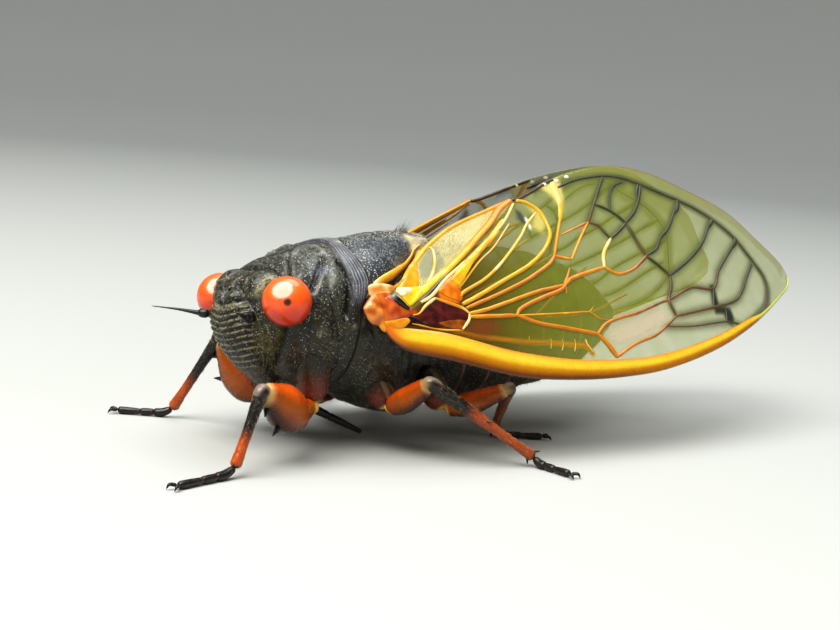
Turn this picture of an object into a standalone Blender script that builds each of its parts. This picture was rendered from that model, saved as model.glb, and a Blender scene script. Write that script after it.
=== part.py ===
"""A periodical cicada at life size, standing on its six feet with the wings folded over its back.

Every piece is worked out in the insect's own frame, in millimetres: the origin lies midway between
the centres of the two eyes, +X is the insect's left, +Y runs to the tail and +Z is up.  One empty,
the stance, then tilts the finished insect a little and sets it on its feet.
"""
import math

import bmesh
import bpy
from mathutils import Euler, Matrix, Vector
from mathutils.geometry import delaunay_2d_cdt

# Stance and clearances, in millimetres and degrees
MM = 0.001
GAP = 0.3
ROLL_TO_RIGHT = -7.0
TAIL_LIFT = 3.0
EYES_ABOVE_FLOOR = 8.6
WELD = 0.0001

# Head
EYE_SPREAD = 3.5
EYE_RADIUS = 1.4
CLYPEUS_RIDGE = 0.07
CLYPEUS_RIDGE_PITCH = 0.43
BEAK_ROOT = (0.0, 1.3, -5.35)
BEAK_TIP = (0.0, 7.3, -8.5)
BEAK_RADII = (0.36, 0.34, 0.3, 0.28, 0.25)
FEELER = ((1.8, -1.2, -0.85), (2.1, -1.75, -0.8), (2.5, -2.2, -0.72), (3.4, -3.0, -0.5), (4.6, -4.0, -0.3))
FEELER_RADII = (0.28, 0.28, 0.25, 0.16, 0.07)
OCELLUS_RADIUS = 0.2
OCELLI = ((0.0, -1.56, 0.82), (0.74, -1.14, 1.16), (-0.74, -1.14, 1.16))

# Trunk
COLLAR_AT = 5.9
WAIST_AT = 11.4
SCUTELLUM_REACH = 0.9
TAIL_AT = 28.2
ABDOMEN_RINGS = 9
SEGMENT_STEP = 0.13
TRUNK_SIDES = 28
SHIELD_SIDES = 40
FURROW_DEPTH = 0.2
FURROW_HALF_WIDTH = 0.5

# Wings
WING_THICKNESS = 0.5
WING_SLOPE = 0.52
WING_RISE = 0.884
WING_LEAN = 0.468
WING_STAND_OUT = 5.05
WING_LEVEL = -0.5
# The wing stands steeper, and is drawn in, over its root; its tip is drawn in too
ROOT_UPRIGHT = 0.32
ROOT_UPRIGHT_SPAN = (5.0, 10.0)
ROOT_TUCK = 0.45
ROOT_TUCK_SPAN = (4.5, 8.0)
TIP_TUCK = 1.9
TIP_TUCK_SPAN = (26.0, 41.5)
CAMBER = 0.45
CAMBER_MIDDLE = 0.7
CAMBER_HALF = 7.0
# Beyond the fold, the hind part of the wing bends in over the back
FOLD_IN = 0.46
FOLD_DOWN = 0.51
FOLD_EASE_SPAN = (6.0, 10.0)
VEIN_HEIGHT = 0.13
VEIN_HALF_WIDTH = 0.24
VEIN_STEP = 1.5
HINDWING_INSET = 1.3
ROOT_GAP = 0.38
# Where each wing's hinge block grows from the flank, along the trunk and in height
FOREWING_ROOT = (5.6, 8.0)
FOREWING_ROOT_LEVEL = -1.2
HINDWING_ROOT = (9.2, 10.8)
HINDWING_ROOT_LEVEL = -0.7
HINGE_HALF_HEIGHT = 0.9
HINGE_SIDES = 10
WING_LATTICE = 2.4


def smooth_through(stations, at):
    """Value at one place of a smooth curve through a few (place, value) stations."""
    if at <= stations[0][0]:
        return stations[0][1]
    if at >= stations[-1][0]:
        return stations[-1][1]
    slopes = []
    for k in range(len(stations)):
        low = stations[max(k - 1, 0)]
        high = stations[min(k + 1, len(stations) - 1)]
        slopes.append((high[1] - low[1]) / (high[0] - low[0]))
    for k in range(len(stations) - 1):
        (a, value_a), (b, value_b) = stations[k], stations[k + 1]
        if at <= b:
            span = b - a
            t = (at - a) / span
            rise = 3 * t * t - 2 * t * t * t
            bend_a = (t - 2 * t * t + t * t * t) * span * slopes[k]
            bend_b = (t * t * t - t * t) * span * slopes[k + 1]
            return value_a + (value_b - value_a) * rise + bend_a + bend_b
    return stations[-1][1]


def ease(t):
    """Smooth step from 0 to 1."""
    t = min(max(t, 0.0), 1.0)
    return t * t * (3 - 2 * t)


def edge_distance(spot, outline, closed=True):
    """Distance from a place to a run of straight edges."""
    best = 1e9
    for k in range(len(outline) if closed else len(outline) - 1):
        a, b = outline[k], outline[(k + 1) % len(outline)]
        run = b - a
        t = min(max((spot - a).dot(run) / run.length_squared, 0.0), 1.0)
        best = min(best, (spot - a - run * t).length)
    return best


# Closed meshes and how they are joined and cut


def closed_object(name, points, faces):
    """One object from points in millimetres and faces, with its normals turned outwards."""
    mesh = bpy.data.meshes.new(name)
    mesh.from_pydata([tuple(p) for p in points], [], faces)
    shape = bmesh.new()
    shape.from_mesh(mesh)
    bmesh.ops.recalc_face_normals(shape, faces=shape.faces)
    if shape.calc_volume(signed=True) < 0:
        bmesh.ops.reverse_faces(shape, faces=shape.faces)
    bmesh.ops.triangulate(shape, faces=shape.faces)
    shape.to_mesh(mesh)
    shape.free()
    piece = bpy.data.objects.new(name, mesh)
    bpy.context.scene.collection.objects.link(piece)
    return piece


def loft(name, rings, ends=None):
    """A closed solid through rings of points, with both ends filled to a middle point."""
    count = len(rings[0])
    points = [p for ring in rings for p in ring]
    faces = []
    for r in range(len(rings) - 1):
        for k in range(count):
            n = (k + 1) % count
            faces.append((r * count + k, r * count + n, (r + 1) * count + n, (r + 1) * count + k))
    for r in (0, len(rings) - 1):
        middle = sum((Vector(p) for p in rings[r]), Vector()) / count
        points.append(ends[0 if r == 0 else 1] if ends else middle)
        for k in range(count):
            faces.append((r * count + k, r * count + (k + 1) % count, len(points) - 1))
    return closed_object(name, points, faces)


def tube(name, path, radii, sides=8, flatten=1.0, pad=0.0):
    """A round tube along a path; pad swells it all round and past both ends."""
    path = [Vector(p) for p in path]
    if pad:
        path[0] = path[0] - (path[1] - path[0]).normalized() * pad
        path[-1] = path[-1] + (path[-1] - path[-2]).normalized() * pad
    across = Vector((0, 0, 1))
    rings = []
    for k, point in enumerate(path):
        ahead = path[min(k + 1, len(path) - 1)] - path[max(k - 1, 0)]
        ahead.normalize()
        side = ahead.cross(across)
        if side.length < 0.2:
            side = ahead.cross(Vector((0, 1, 0)))
        side.normalize()
        lift = side.cross(ahead)
        radius = radii[k] + pad
        ring = []
        for s in range(sides):
            turn = 2 * math.pi * (s + 0.5) / sides
            ring.append(point + side * radius * flatten * math.cos(turn) + lift * radius * math.sin(turn))
        rings.append(ring)
    return loft(name, rings)


def ball(name, centre, radii, rings=10, sides=16):
    """A closed ellipsoid from rings between two poles."""
    points = [Vector((0, 0, 1))]
    for r in range(1, rings):
        tilt = math.pi * r / rings
        for s in range(sides):
            turn = 2 * math.pi * s / sides
            level = math.sin(tilt)
            points.append(Vector((level * math.cos(turn), level * math.sin(turn), math.cos(tilt))))
    points.append(Vector((0, 0, -1)))
    faces = []
    for s in range(sides):
        n = (s + 1) % sides
        faces.append((0, 1 + s, 1 + n))
        for r in range(rings - 2):
            a = 1 + r * sides
            faces.append((a + s, a + sides + s, a + sides + n, a + n))
        last = 1 + (rings - 2) * sides
        faces.append((last + s, len(points) - 1, last + n))
    placed = [Vector(centre) + p * Vector(radii) for p in points]
    return closed_object(name, placed, faces)


def solid_boolean(piece, tools, operation):
    """Join tools to a piece, or cut them out of it, and keep its largest closed surface."""
    group = bpy.data.collections.new(piece.name + "_tools")
    bpy.context.scene.collection.children.link(group)
    for tool in tools:
        bpy.context.scene.collection.objects.unlink(tool)
        group.objects.link(tool)
    change = piece.modifiers.new("change", "BOOLEAN")
    change.operation = operation
    change.operand_type = "COLLECTION"
    change.collection = group
    change.solver = "EXACT"
    bpy.context.view_layer.update()
    evaluated = piece.evaluated_get(bpy.context.evaluated_depsgraph_get())
    result = bpy.data.meshes.new_from_object(evaluated)
    piece.modifiers.remove(change)
    piece.data = result
    for tool in list(group.objects):
        bpy.data.objects.remove(tool)
    bpy.data.collections.remove(group)
    keep_largest(piece)
    return piece


def keep_largest(piece):
    """Weld a mesh and keep only its largest closed surface."""
    shape = bmesh.new()
    shape.from_mesh(piece.data)
    bmesh.ops.remove_doubles(shape, verts=shape.verts, dist=WELD * 5)
    bmesh.ops.dissolve_degenerate(shape, edges=shape.edges, dist=WELD * 5)
    bmesh.ops.triangulate(shape, faces=shape.faces)
    unseen = set(shape.verts)
    shells = []
    while unseen:
        stack = [unseen.pop()]
        shell = set(stack)
        while stack:
            for edge in stack.pop().link_edges:
                for vert in edge.verts:
                    if vert in unseen:
                        unseen.discard(vert)
                        shell.add(vert)
                        stack.append(vert)
        shells.append(shell)
    largest = max(shells, key=len)
    drop = [vert for shell in shells if shell is not largest for vert in shell]
    bmesh.ops.delete(shape, geom=drop, context="VERTS")
    shape.to_mesh(piece.data)
    shape.free()


def join(piece, tools):
    return solid_boolean(piece, tools, "UNION")


def cut(piece, tools):
    return solid_boolean(piece, tools, "DIFFERENCE")


def finish(piece, name, colour, roughness, metallic=0.0):
    """Name a node, give it its own material and hang it on the stance."""
    piece.name = name
    piece.data.name = name
    material = bpy.data.materials.new(name + "_finish")
    material.use_nodes = True
    shader = material.node_tree.nodes["Principled BSDF"]
    shader.inputs["Base Color"].default_value = (*colour, 1.0)
    shader.inputs["Roughness"].default_value = roughness
    shader.inputs["Metallic"].default_value = metallic
    piece.data.materials.clear()
    piece.data.materials.append(material)
    piece.data.transform(Matrix.Scale(MM, 4))
    piece.data.shade_smooth()
    piece.data.set_sharp_from_angle(angle=math.radians(40))
    piece.parent = stance
    return piece


# Colours of the living insect
BLACK = (0.016, 0.015, 0.013)
EYE_RED = (0.78, 0.07, 0.01)
ORANGE = (0.75, 0.17, 0.02)
TIBIA_BROWN = (0.28, 0.07, 0.02)
MEMBRANE = (0.55, 0.40, 0.12)

for leftover in list(bpy.data.objects):
    bpy.data.objects.remove(leftover)
stance = bpy.data.objects.new("stance", None)
bpy.context.scene.collection.objects.link(stance)
stance.rotation_euler = Euler((math.radians(TAIL_LIFT), math.radians(ROLL_TO_RIGHT), 0.0))
stance.location = (0.0, 0.0, EYES_ABOVE_FLOOR * MM)
TILT = stance.rotation_euler.to_matrix()
FLOOR_UP = TILT.transposed() @ Vector((0, 0, 1))
FLOOR_POINT = -FLOOR_UP * EYES_ABOVE_FLOOR


def from_floor(x, y, height):
    """A place given above the level floor, in the insect's own frame."""
    return TILT.transposed() @ Vector((x, y, height - EYES_ABOVE_FLOOR))


# Trunk: one run of cross-sections from the neck to the tail, parted at three seams
HALF_WIDTH = ((0.0, 3.5), (1.2, 3.9), (3.0, 4.2), (5.0, 4.4), (6.5, 4.4), (8.0, 3.9), (9.5, 3.0),
              (11.0, 2.7), (12.5, 3.0), (15.0, 3.6), (19.0, 3.8), (22.5, 3.3), (25.5, 2.2),
              (27.4, 1.0), (28.4, 0.4))
TOP = ((0.0, 1.7), (1.2, 2.2), (3.4, 2.95), (5.0, 3.1), (6.5, 3.25), (8.5, 3.5), (10.6, 3.45),
       (11.8, 3.2), (13.0, 2.8), (16.0, 2.4), (20.0, 1.8), (24.0, 0.6), (26.5, -0.9), (28.4, -2.4))
BOTTOM = ((0.0, -3.6), (1.2, -4.3), (3.0, -5.0), (5.0, -5.7), (6.5, -6.6), (8.5, -7.3), (11.0, -7.2),
          (14.0, -7.0), (19.0, -6.9), (22.5, -6.4), (25.5, -5.3), (27.4, -4.2), (28.4, -3.4))
WAIST_LINE = ((0.0, -0.5), (5.0, -1.0), (10.0, -1.8), (16.0, -2.4), (24.0, -2.7), (28.4, -2.9))
ROOF_POWER = ((0.0, 2.3), (6.0, 2.3), (9.0, 1.9), (11.5, 1.75), (16.0, 1.8), (28.4, 2.0))
# The shield's furrows in plan, from the midline outwards
FURROWS = (((0.3, 2.5), (2.6, 1.5)), ((0.8, 4.5), (3.5, 2.3)))


def signed_power(value, power):
    return math.copysign(abs(value) ** power, value)


def trunk_point(y, turn):
    """A point on the trunk's skin; turn 0 is the left side and a quarter turn is the back."""
    waist = smooth_through(WAIST_LINE, y)
    up = math.sin(turn)
    reach = smooth_through(TOP, y) - waist if up >= 0 else waist - smooth_through(BOTTOM, y)
    power = 2 / (smooth_through(ROOF_POWER, y) if up >= 0 else 2.3)
    x = smooth_through(HALF_WIDTH, y) * signed_power(math.cos(turn), power)
    return Vector((x, y, waist + reach * signed_power(up, power)))


def neck_seam(z):
    return 0.35 + 0.95 * ease((1.9 - z) / 2.4)


def collar_seam(z):
    return COLLAR_AT - 1.2 * ease((1.5 - z) / 2.2)


def waist_seam(z):
    return WAIST_AT + SCUTELLUM_REACH * ease((z - 1.0) / 1.6)


def tail_seam(_):
    return TAIL_AT


def furrow_depth(point):
    """How deep the shield's two slanting furrows cut at a place on its upper side."""
    if point.z < smooth_through(WAIST_LINE, point.y) + 1.0:
        return 0.0
    here = Vector((abs(point.x), point.y))
    nearest = min(edge_distance(here, [Vector(end) for end in furrow], False) for furrow in FURROWS)
    return FURROW_DEPTH * ease(1 - nearest / FURROW_HALF_WIDTH)


def trunk_ring(front, back, share, shift=0.0, swell=0.0, sides=TRUNK_SIDES, depth=None):
    """A ring part of the way from one seam to the next, moved by shift and swollen by swell."""
    ring = []
    for k in range(sides):
        turn = 2 * math.pi * k / sides
        point = trunk_point(front(0) * (1 - share) + back(0) * share, turn)
        for _ in range(5):
            y = front(point.z) * (1 - share) + back(point.z) * share + shift
            point = trunk_point(y, turn)
        waist = Vector((0, point.y, smooth_through(WAIST_LINE, point.y)))
        out = point - waist
        ring.append(point + out.normalized() * (swell - (depth(point) if depth else 0.0)))
    return ring


def seam_face(ring, seam, shift):
    """A smaller ring and a middle point that carry an end face along its curved seam."""
    middle = sum(ring, Vector()) / len(ring)
    inner = []
    for point in ring:
        half = (point + middle) / 2
        inner.append(Vector((half.x, seam(half.z) + shift, half.z)))
    return inner, Vector((middle.x, seam(middle.z) + shift, middle.z))


def trunk_piece(name, front, back, shares, sides=TRUNK_SIDES, depth=None):
    """A length of trunk between two seams, each end half a gap short of its seam."""
    rings = []
    for share, swell in shares:
        shift = GAP / 2 * (1 - 2 * share)
        rings.append(trunk_ring(front, back, share, shift, swell, sides, depth))
    first, front_middle = seam_face(rings[0], front, GAP / 2)
    last, back_middle = seam_face(rings[-1], back, -GAP / 2)
    return loft(name, [first] + rings + [last], (front_middle, back_middle))


def prothorax_shape():
    """The shield behind the head, with slanting furrows and a raised rear collar."""
    shares = [(0.0, -0.25), (0.04, 0.0)]
    shares += [(0.04 + 0.09 * k, 0.0) for k in range(1, 9)]
    shares += [(0.84, -0.05), (0.88, 0.1), (1.0, 0.12)]
    return trunk_piece("prothorax", neck_seam, collar_seam, shares, SHIELD_SIDES, furrow_depth)


def mesothorax_shape():
    """The wing-bearing barrel, whose back ends in the shield called the scutellum."""
    shares = ((0.0, -0.12), (0.06, 0.0), (0.3, 0.02), (0.55, 0.02), (0.8, 0.0), (0.92, 0.0), (1.0, -0.2))
    return trunk_piece("mesothorax", collar_seam, waist_seam, shares)


def abdomen_shape():
    """Nine overlapping rings that taper to the tail."""
    shares = []
    for k in range(ABDOMEN_RINGS):
        start = k / ABDOMEN_RINGS
        end = (k + 1) / ABDOMEN_RINGS
        step = SEGMENT_STEP / 2 * (1 - 0.4 * start)
        shares += [(start, -step), (start * 0.15 + end * 0.85, step)]
    return trunk_piece("abdomen", waist_seam, tail_seam, shares + [(1.0, 0.0)])


# Head: a broad cranium with the ribbed, bulging clypeus in front
CRANIUM_HALF_WIDTH = ((-4.3, 0.9), (-3.6, 1.5), (-2.8, 2.1), (-2.0, 2.6), (-1.2, 3.0),
                      (-0.3, 3.2), (0.6, 3.1), (1.2, 2.7), (1.55, 1.9), (1.72, 0.9))
CRANIUM_FRONT = ((-4.3, -0.3), (-3.6, -0.7), (-2.8, -1.1), (-2.0, -1.35), (-1.2, -1.5),
                 (-0.3, -1.55), (0.6, -1.4), (1.2, -1.1), (1.55, -0.75), (1.72, -0.4))
CLYPEUS_HALF_WIDTH = ((-5.5, 0.4), (-5.1, 0.6), (-4.5, 0.8), (-3.9, 1.1), (-3.2, 1.4), (-2.4, 1.65),
                      (-1.6, 1.75), (-0.8, 1.65), (0.0, 1.35), (0.5, 0.95), (0.9, 0.5))
CLYPEUS_FRONT = ((-5.5, 0.7), (-5.1, 0.0), (-4.5, -0.85), (-3.9, -1.55), (-3.2, -2.15), (-2.4, -2.6),
                 (-1.6, -2.78), (-0.8, -2.65), (0.0, -2.2), (0.5, -1.75), (0.9, -1.3))
LIP_BACK = 0.3
LIP_BACK_DRIFT = 1.2


def level_ring(z, half_width, front, back, sides=20, power=2.2, bulge=0.0):
    """A ring at one level, rounded in front and behind."""
    ring = []
    middle = (front + back) / 2
    for k in range(sides):
        turn = 2 * math.pi * k / sides
        x = half_width * signed_power(math.cos(turn), 2 / power)
        y = middle + (back - front) / 2 * signed_power(math.sin(turn), 2 / power)
        if math.sin(turn) < 0:
            y += bulge * math.sin(turn)
        ring.append(Vector((x, y, z)))
    return ring


def cranium_shape(pad=0.0):
    rings = []
    for (z, width), (_, front) in zip(CRANIUM_HALF_WIDTH, CRANIUM_FRONT):
        back = neck_seam(z) - GAP / 2 + pad
        rings.append(level_ring(z, width + pad, front - pad, back, 24))
    return loft("head", rings)


def clypeus_shape(pad=0.0):
    """The swollen face plate with its cross ridges, and the narrow lip plate below it."""
    low, high = CLYPEUS_FRONT[0][0], CLYPEUS_FRONT[-1][0]
    levels = int((high - low) / (CLYPEUS_RIDGE_PITCH / 2))
    rings = []
    for k in range(levels + 1):
        z = low + (high - low) * k / levels
        ridged = ease((z + 4.6) / 0.8) * ease((0.5 - z) / 0.6)
        bulge = CLYPEUS_RIDGE * ridged * (1 if k % 2 else -1)
        back = LIP_BACK + LIP_BACK_DRIFT * ease((-3.6 - z) / 1.9) + pad
        width = smooth_through(CLYPEUS_HALF_WIDTH, z) + pad
        front = smooth_through(CLYPEUS_FRONT, z) - pad
        rings.append(level_ring(z, width, front, back, 16, 2.1, bulge))
    if pad:
        rings[0] = [p - Vector((0, 0, pad)) for p in rings[0]]
    return loft("clypeus", rings)


def eye_socket(side):
    reach = EYE_RADIUS + GAP
    return ball("socket", (side * EYE_SPREAD, 0, 0), (reach, reach, reach), 10, 18)


# Legs: hip, end of the hip piece, knee, ankle and claw; feet are given above the level floor
ANKLE_HEIGHT = 0.55
SOLE_HEIGHT = 0.24
SOLE_RISE = 0.05
# Shares of the way from the ankle to the claws at which the sole begins and bends
SOLE_START = 0.18
SOLE_MIDDLE = 0.6
LEG_SIDES = 8
LEGS = {
    "fore_L": ((2.9, 2.3, -2.4), (2.4, 2.5, -6.0), (5.0, -2.8, -4.6), (6.1, -4.3), (7.2, -8.3)),
    "fore_R": ((-2.9, 2.3, -2.4), (-2.4, 2.5, -6.0), (-5.5, 1.0, -2.6), (-7.7, -0.3), (-9.6, -3.0)),
    "mid_L": ((1.9, 6.5, -4.6), (3.2, 6.9, -6.7), (6.5, 7.6, -5.1), (9.6, 14.0), (12.4, 14.3)),
    "mid_R": ((-1.9, 6.5, -4.6), (-3.2, 6.9, -6.7), (-6.5, 7.6, -5.1), (-10.3, 13.4), (-12.4, 15.2)),
    "hind_L": ((2.0, 10.4, -4.8), (3.4, 11.0, -7.2), (6.5, 13.5, -6.0), (2.9, 16.6), (4.4, 19.4)),
    "hind_R": ((-2.0, 10.4, -4.8), (-3.4, 11.0, -7.2), (-6.5, 13.5, -6.0), (-9.9, 20.2), (-11.4, 22.9)),
}
COXA_RADII = {"fore": (0.95, 0.8, 0.72), "mid": (0.95, 0.9, 0.7), "hind": (0.95, 0.9, 0.7)}
FEMUR_RADII = {
    "fore": (0.6, 1.05, 1.3, 1.25, 0.9, 0.5),
    "mid": (0.4, 0.62, 0.72, 0.7, 0.58, 0.42),
    "hind": (0.4, 0.62, 0.7, 0.64, 0.52, 0.42),
}
FEMUR_SAG = {"fore": 0.6, "mid": 0.15, "hind": 0.15}
SAG_SHARES = (0.1, 0.7, 1.0, 0.8, 0.35, 0.0)
# Fore thigh spines: share of the way to the knee, length past the skin and lean towards the knee
THIGH_SPINES = ((0.62, 0.45, 0.6), (0.82, 0.3, 0.0))
THIGH_SPINE_RADIUS = 0.24
# Shin spines: share of the way to the ankle, turn about the shin in degrees and length past the skin
SHIN_SPINES = ((0.5, 20, 0.35), (0.72, 200, 0.35), (0.95, 60, 0.4), (0.95, 240, 0.4))
SHIN_SPINE_RADIUS = 0.12
SPINE_TIP = 0.04
CLAW_LENGTH = 0.55
CLAW_SPREAD = 0.26
CLAW_RADIUS = 0.14
TARSUS_RADII = (0.27, 0.27, 0.26, 0.28, 0.2)
TIBIA_RADII = {
    "fore": (0.42, 0.36, 0.31, 0.3, 0.34),
    "mid": (0.42, 0.4, 0.34, 0.3, 0.32),
    "hind": (0.4, 0.36, 0.31, 0.29, 0.31),
}


def along(start, end, count):
    return [Vector(start).lerp(Vector(end), k / (count - 1)) for k in range(count)]


def leg_route(leg):
    """Joint places of one leg in the insect's own frame."""
    hip, coxa_end, knee, ankle, claw = LEGS[leg]
    ankle_point = from_floor(*ankle, ANKLE_HEIGHT)
    sole_start, sole_mid = (
        from_floor(ankle[0] * (1 - share) + claw[0] * share, ankle[1] * (1 - share) + claw[1] * share, height)
        for share, height in ((SOLE_START, SOLE_HEIGHT + SOLE_RISE), (SOLE_MIDDLE, SOLE_HEIGHT))
    )
    claw_point = from_floor(*claw, SOLE_HEIGHT)
    return Vector(hip), Vector(coxa_end), Vector(knee), ankle_point, (sole_start, sole_mid, claw_point)


def coxa_tube(leg, pad=0.0):
    hip, end, _, _, _ = leg_route(leg)
    return tube("coxa", along(hip, end, 3), COXA_RADII[leg.split("_")[0]], LEG_SIDES, 1.0, pad)


def femur_tube(leg, pad=0.0):
    """The thigh, swollen on its underside."""
    _, start, knee, _, _ = leg_route(leg)
    kind = leg.split("_")[0]
    route = along(start, knee, 6)
    for place, sag in zip(route, SAG_SHARES):
        place.z -= sag * FEMUR_SAG[kind]
    return tube("femur", route, FEMUR_RADII[kind], LEG_SIDES, 0.85, pad)


def thorn(base, tip, radius):
    """A short pointed spine whose base is sunk in what it grows from."""
    return tube("thorn", (base, tip), (radius, SPINE_TIP), 5)


def thigh_spines(leg):
    """The black spines under a fore thigh."""
    _, start, knee, _, _ = leg_route(leg)
    ahead = (knee - start).normalized()
    down = (ahead * ahead.z - Vector((0, 0, 1))).normalized()
    spines = []
    for share, length, lean in THIGH_SPINES:
        place = share * (len(SAG_SHARES) - 1)
        stations = list(enumerate(SAG_SHARES))
        sag = smooth_through(stations, place) * FEMUR_SAG["fore"]
        radius = smooth_through(list(enumerate(FEMUR_RADII["fore"])), place)
        axis = start.lerp(knee, share) - Vector((0, 0, sag))
        tip = axis + down * (radius + length) + ahead * lean
        spines.append(thorn(axis + down * radius * 0.5, tip, THIGH_SPINE_RADIUS))
    return spines


def shin_spines(leg):
    """The small spines along a middle or hind shin and round its ankle."""
    _, _, knee, ankle, _ = leg_route(leg)
    ahead = (ankle - knee).normalized()
    side = ahead.cross(Vector((0, 0, 1))).normalized()
    lift = side.cross(ahead)
    radii = list(enumerate(TIBIA_RADII[leg.split("_")[0]]))
    spines = []
    for share, turn, length in SHIN_SPINES:
        out = side * math.cos(math.radians(turn)) + lift * math.sin(math.radians(turn))
        axis = knee.lerp(ankle, share)
        radius = smooth_through(radii, share * (len(radii) - 1))
        tip = axis + out * (radius + length * 0.7) + ahead * length
        spines.append(thorn(axis + out * radius * 0.4, tip, SHIN_SPINE_RADIUS))
    return spines


def tibia_tube(leg, pad=0.0):
    _, _, knee, ankle, _ = leg_route(leg)
    return tube("tibia", along(knee, ankle, 5), TIBIA_RADII[leg.split("_")[0]], LEG_SIDES, 1.0, pad)


def claw_pair(middle, end):
    """Two claws that spread from the toe and curve down to the floor."""
    ahead = (end - middle).normalized()
    side = ahead.cross(FLOOR_UP).normalized()
    claws = []
    for hand in (1, -1):
        root = end - ahead * 0.1 + side * hand * 0.1
        bend = end + ahead * CLAW_LENGTH * 0.55 + side * hand * CLAW_SPREAD + FLOOR_UP * 0.06
        tip = end + ahead * CLAW_LENGTH + side * hand * CLAW_SPREAD * 1.2 - FLOOR_UP * (SOLE_HEIGHT - 0.06)
        claws.append(tube("claw", (root, bend, tip), (CLAW_RADIUS, CLAW_RADIUS * 0.75, SPINE_TIP), 5))
    return claws


def tarsus_tube(leg):
    """The foot, bent down from the ankle and lying flat along the floor."""
    _, _, _, ankle, (start, middle, end) = leg_route(leg)
    toe = end + (end - middle).normalized() * 0.1
    piece = tube("tarsus", (ankle, start, middle, end, toe), TARSUS_RADII, LEG_SIDES)
    join(piece, claw_pair(middle, end))
    shape = bmesh.new()
    shape.from_mesh(piece.data)
    geometry = list(shape.verts) + list(shape.edges) + list(shape.faces)
    sliced = bmesh.ops.bisect_plane(shape, geom=geometry, dist=WELD, plane_co=FLOOR_POINT,
                                    plane_no=FLOOR_UP, clear_inner=True)
    edges = [item for item in sliced["geom_cut"] if isinstance(item, bmesh.types.BMEdge)]
    bmesh.ops.holes_fill(shape, edges=edges)
    bmesh.ops.triangulate(shape, faces=shape.faces)
    bmesh.ops.recalc_face_normals(shape, faces=shape.faces)
    shape.to_mesh(piece.data)
    shape.free()
    return piece


# Wings: along runs to the tip and across runs from the front margin to the hind margin
FOREWING_OUTLINE = (
    (4.7, -0.2), (4.6, -1.3), (5.2, -2.6), (8.7, -3.95), (13.0, -5.3), (17.0, -5.9), (21.0, -6.15),
    (25.1, -6.05), (30.8, -5.15), (35.9, -3.8), (40.0, -2.4), (41.8, -1.65), (42.4, -0.8), (42.2, 0.1),
    (40.6, 1.8), (38.2, 4.4), (34.6, 6.45), (31.2, 8.05), (27.8, 8.6), (24.3, 8.2), (21.5, 7.45),
    (18.8, 6.4), (16.5, 6.1), (14.1, 5.8), (11.8, 4.9), (10.0, 3.7), (8.0, 2.2), (6.2, 0.7),
)
HINDWING_OUTLINE = (
    (8.6, 0.2), (8.6, -1.6), (11.0, -2.9), (15.0, -4.0), (19.0, -4.5), (23.0, -4.3), (26.5, -3.2),
    (28.0, -1.4), (27.0, 0.6), (25.0, 2.0), (21.5, 3.2), (17.5, 3.4), (14.0, 2.8), (11.5, 1.6), (9.6, 0.8),
)
# Forewing veins from the hinge outwards, in the same coordinates, each with its half width
FOREWING_VEINS = (
    (((5.7, -1.9), (9.3, -3.15), (13.3, -4.6), (17.2, -5.3), (21.3, -5.45), (26.0, -5.3), (31.0, -4.4),
      (36.0, -3.1)), 0.5),
    (((6.4, -0.9), (9.8, -1.75), (11.2, -1.5), (14.5, -1.6), (17.5, -2.4), (20.3, -3.2), (21.4, -4.9)), 0.27),
    (((8.9, -0.12), (10.6, -0.57), (11.2, -1.5)), 0.24),
    (((14.5, -1.6), (18.9, -0.2), (20.0, 0.97), (20.8, 1.84), (23.4, 4.4), (24.8, 5.64), (26.8, 7.7)), 0.24),
    (((10.6, -0.57), (14.5, 0.3), (17.8, 1.25), (20.8, 1.84)), 0.24),
    (((10.7, 0.1), (13.1, 0.95), (16.4, 2.2), (19.2, 3.3), (19.9, 4.5), (19.4, 5.7), (18.8, 6.0)), 0.24),
    (((6.6, -0.95), (8.8, 0.1), (11.8, 1.9), (15.0, 4.0), (17.4, 5.5)), 0.27),
    (((18.9, -0.2), (21.0, 0.5), (23.2, 1.05), (23.75, 1.9), (24.7, 3.0), (26.5, 4.0), (28.6, 5.1),
      (30.0, 6.9)), 0.22),
    (((23.2, 1.05), (25.3, 0.78), (27.1, 1.54), (27.1, 2.7), (26.5, 4.0), (26.2, 5.2), (24.8, 5.64)), 0.22),
    (((27.1, 1.54), (28.2, 0.4), (27.75, -1.2), (27.7, -2.7), (25.2, -3.8), (23.2, -4.2),
      (21.4, -4.9)), 0.22),
    (((20.3, -3.2), (21.7, -2.6), (24.45, -2.2), (27.75, -1.2)), 0.22),
    (((27.1, 1.54), (30.6, 3.8), (32.75, 5.3)), 0.22),
    (((28.2, 0.4), (30.6, 0.8), (33.4, 2.2), (35.4, 3.7)), 0.22),
    (((27.75, -1.2), (30.2, -0.9), (32.45, -1.1), (34.0, 0.2), (37.2, 2.0)), 0.22),
    (((27.7, -2.7), (31.7, -2.4), (34.6, -2.05), (36.9, -0.5), (38.1, 0.3)), 0.22),
)
HINDWING_VEINS = (
    (((9.4, -0.8), (13.0, -2.2), (18.0, -3.2), (23.0, -3.1), (26.0, -2.0)), 0.24),
    (((9.4, -0.8), (13.0, -0.8), (17.0, -1.3), (21.0, -1.2), (25.5, 0.2)), 0.24),
    (((17.0, -1.3), (20.0, 0.3), (23.0, 1.7)), 0.22),
    (((9.4, -0.8), (12.5, 0.4), (16.0, 1.4), (19.0, 2.2)), 0.24),
)
AMBIENT_INSET = 0.85
FOLD_START = Vector((5.8, -1.5))
FOLD_END = Vector((17.8, 6.05))


def part_of(span, at, capped=True):
    """How much of a span a place has passed, from 0 up to 1 or beyond."""
    share = max((at - span[0]) / (span[1] - span[0]), 0.0)
    return min(share, 1.0) if capped else share


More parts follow.
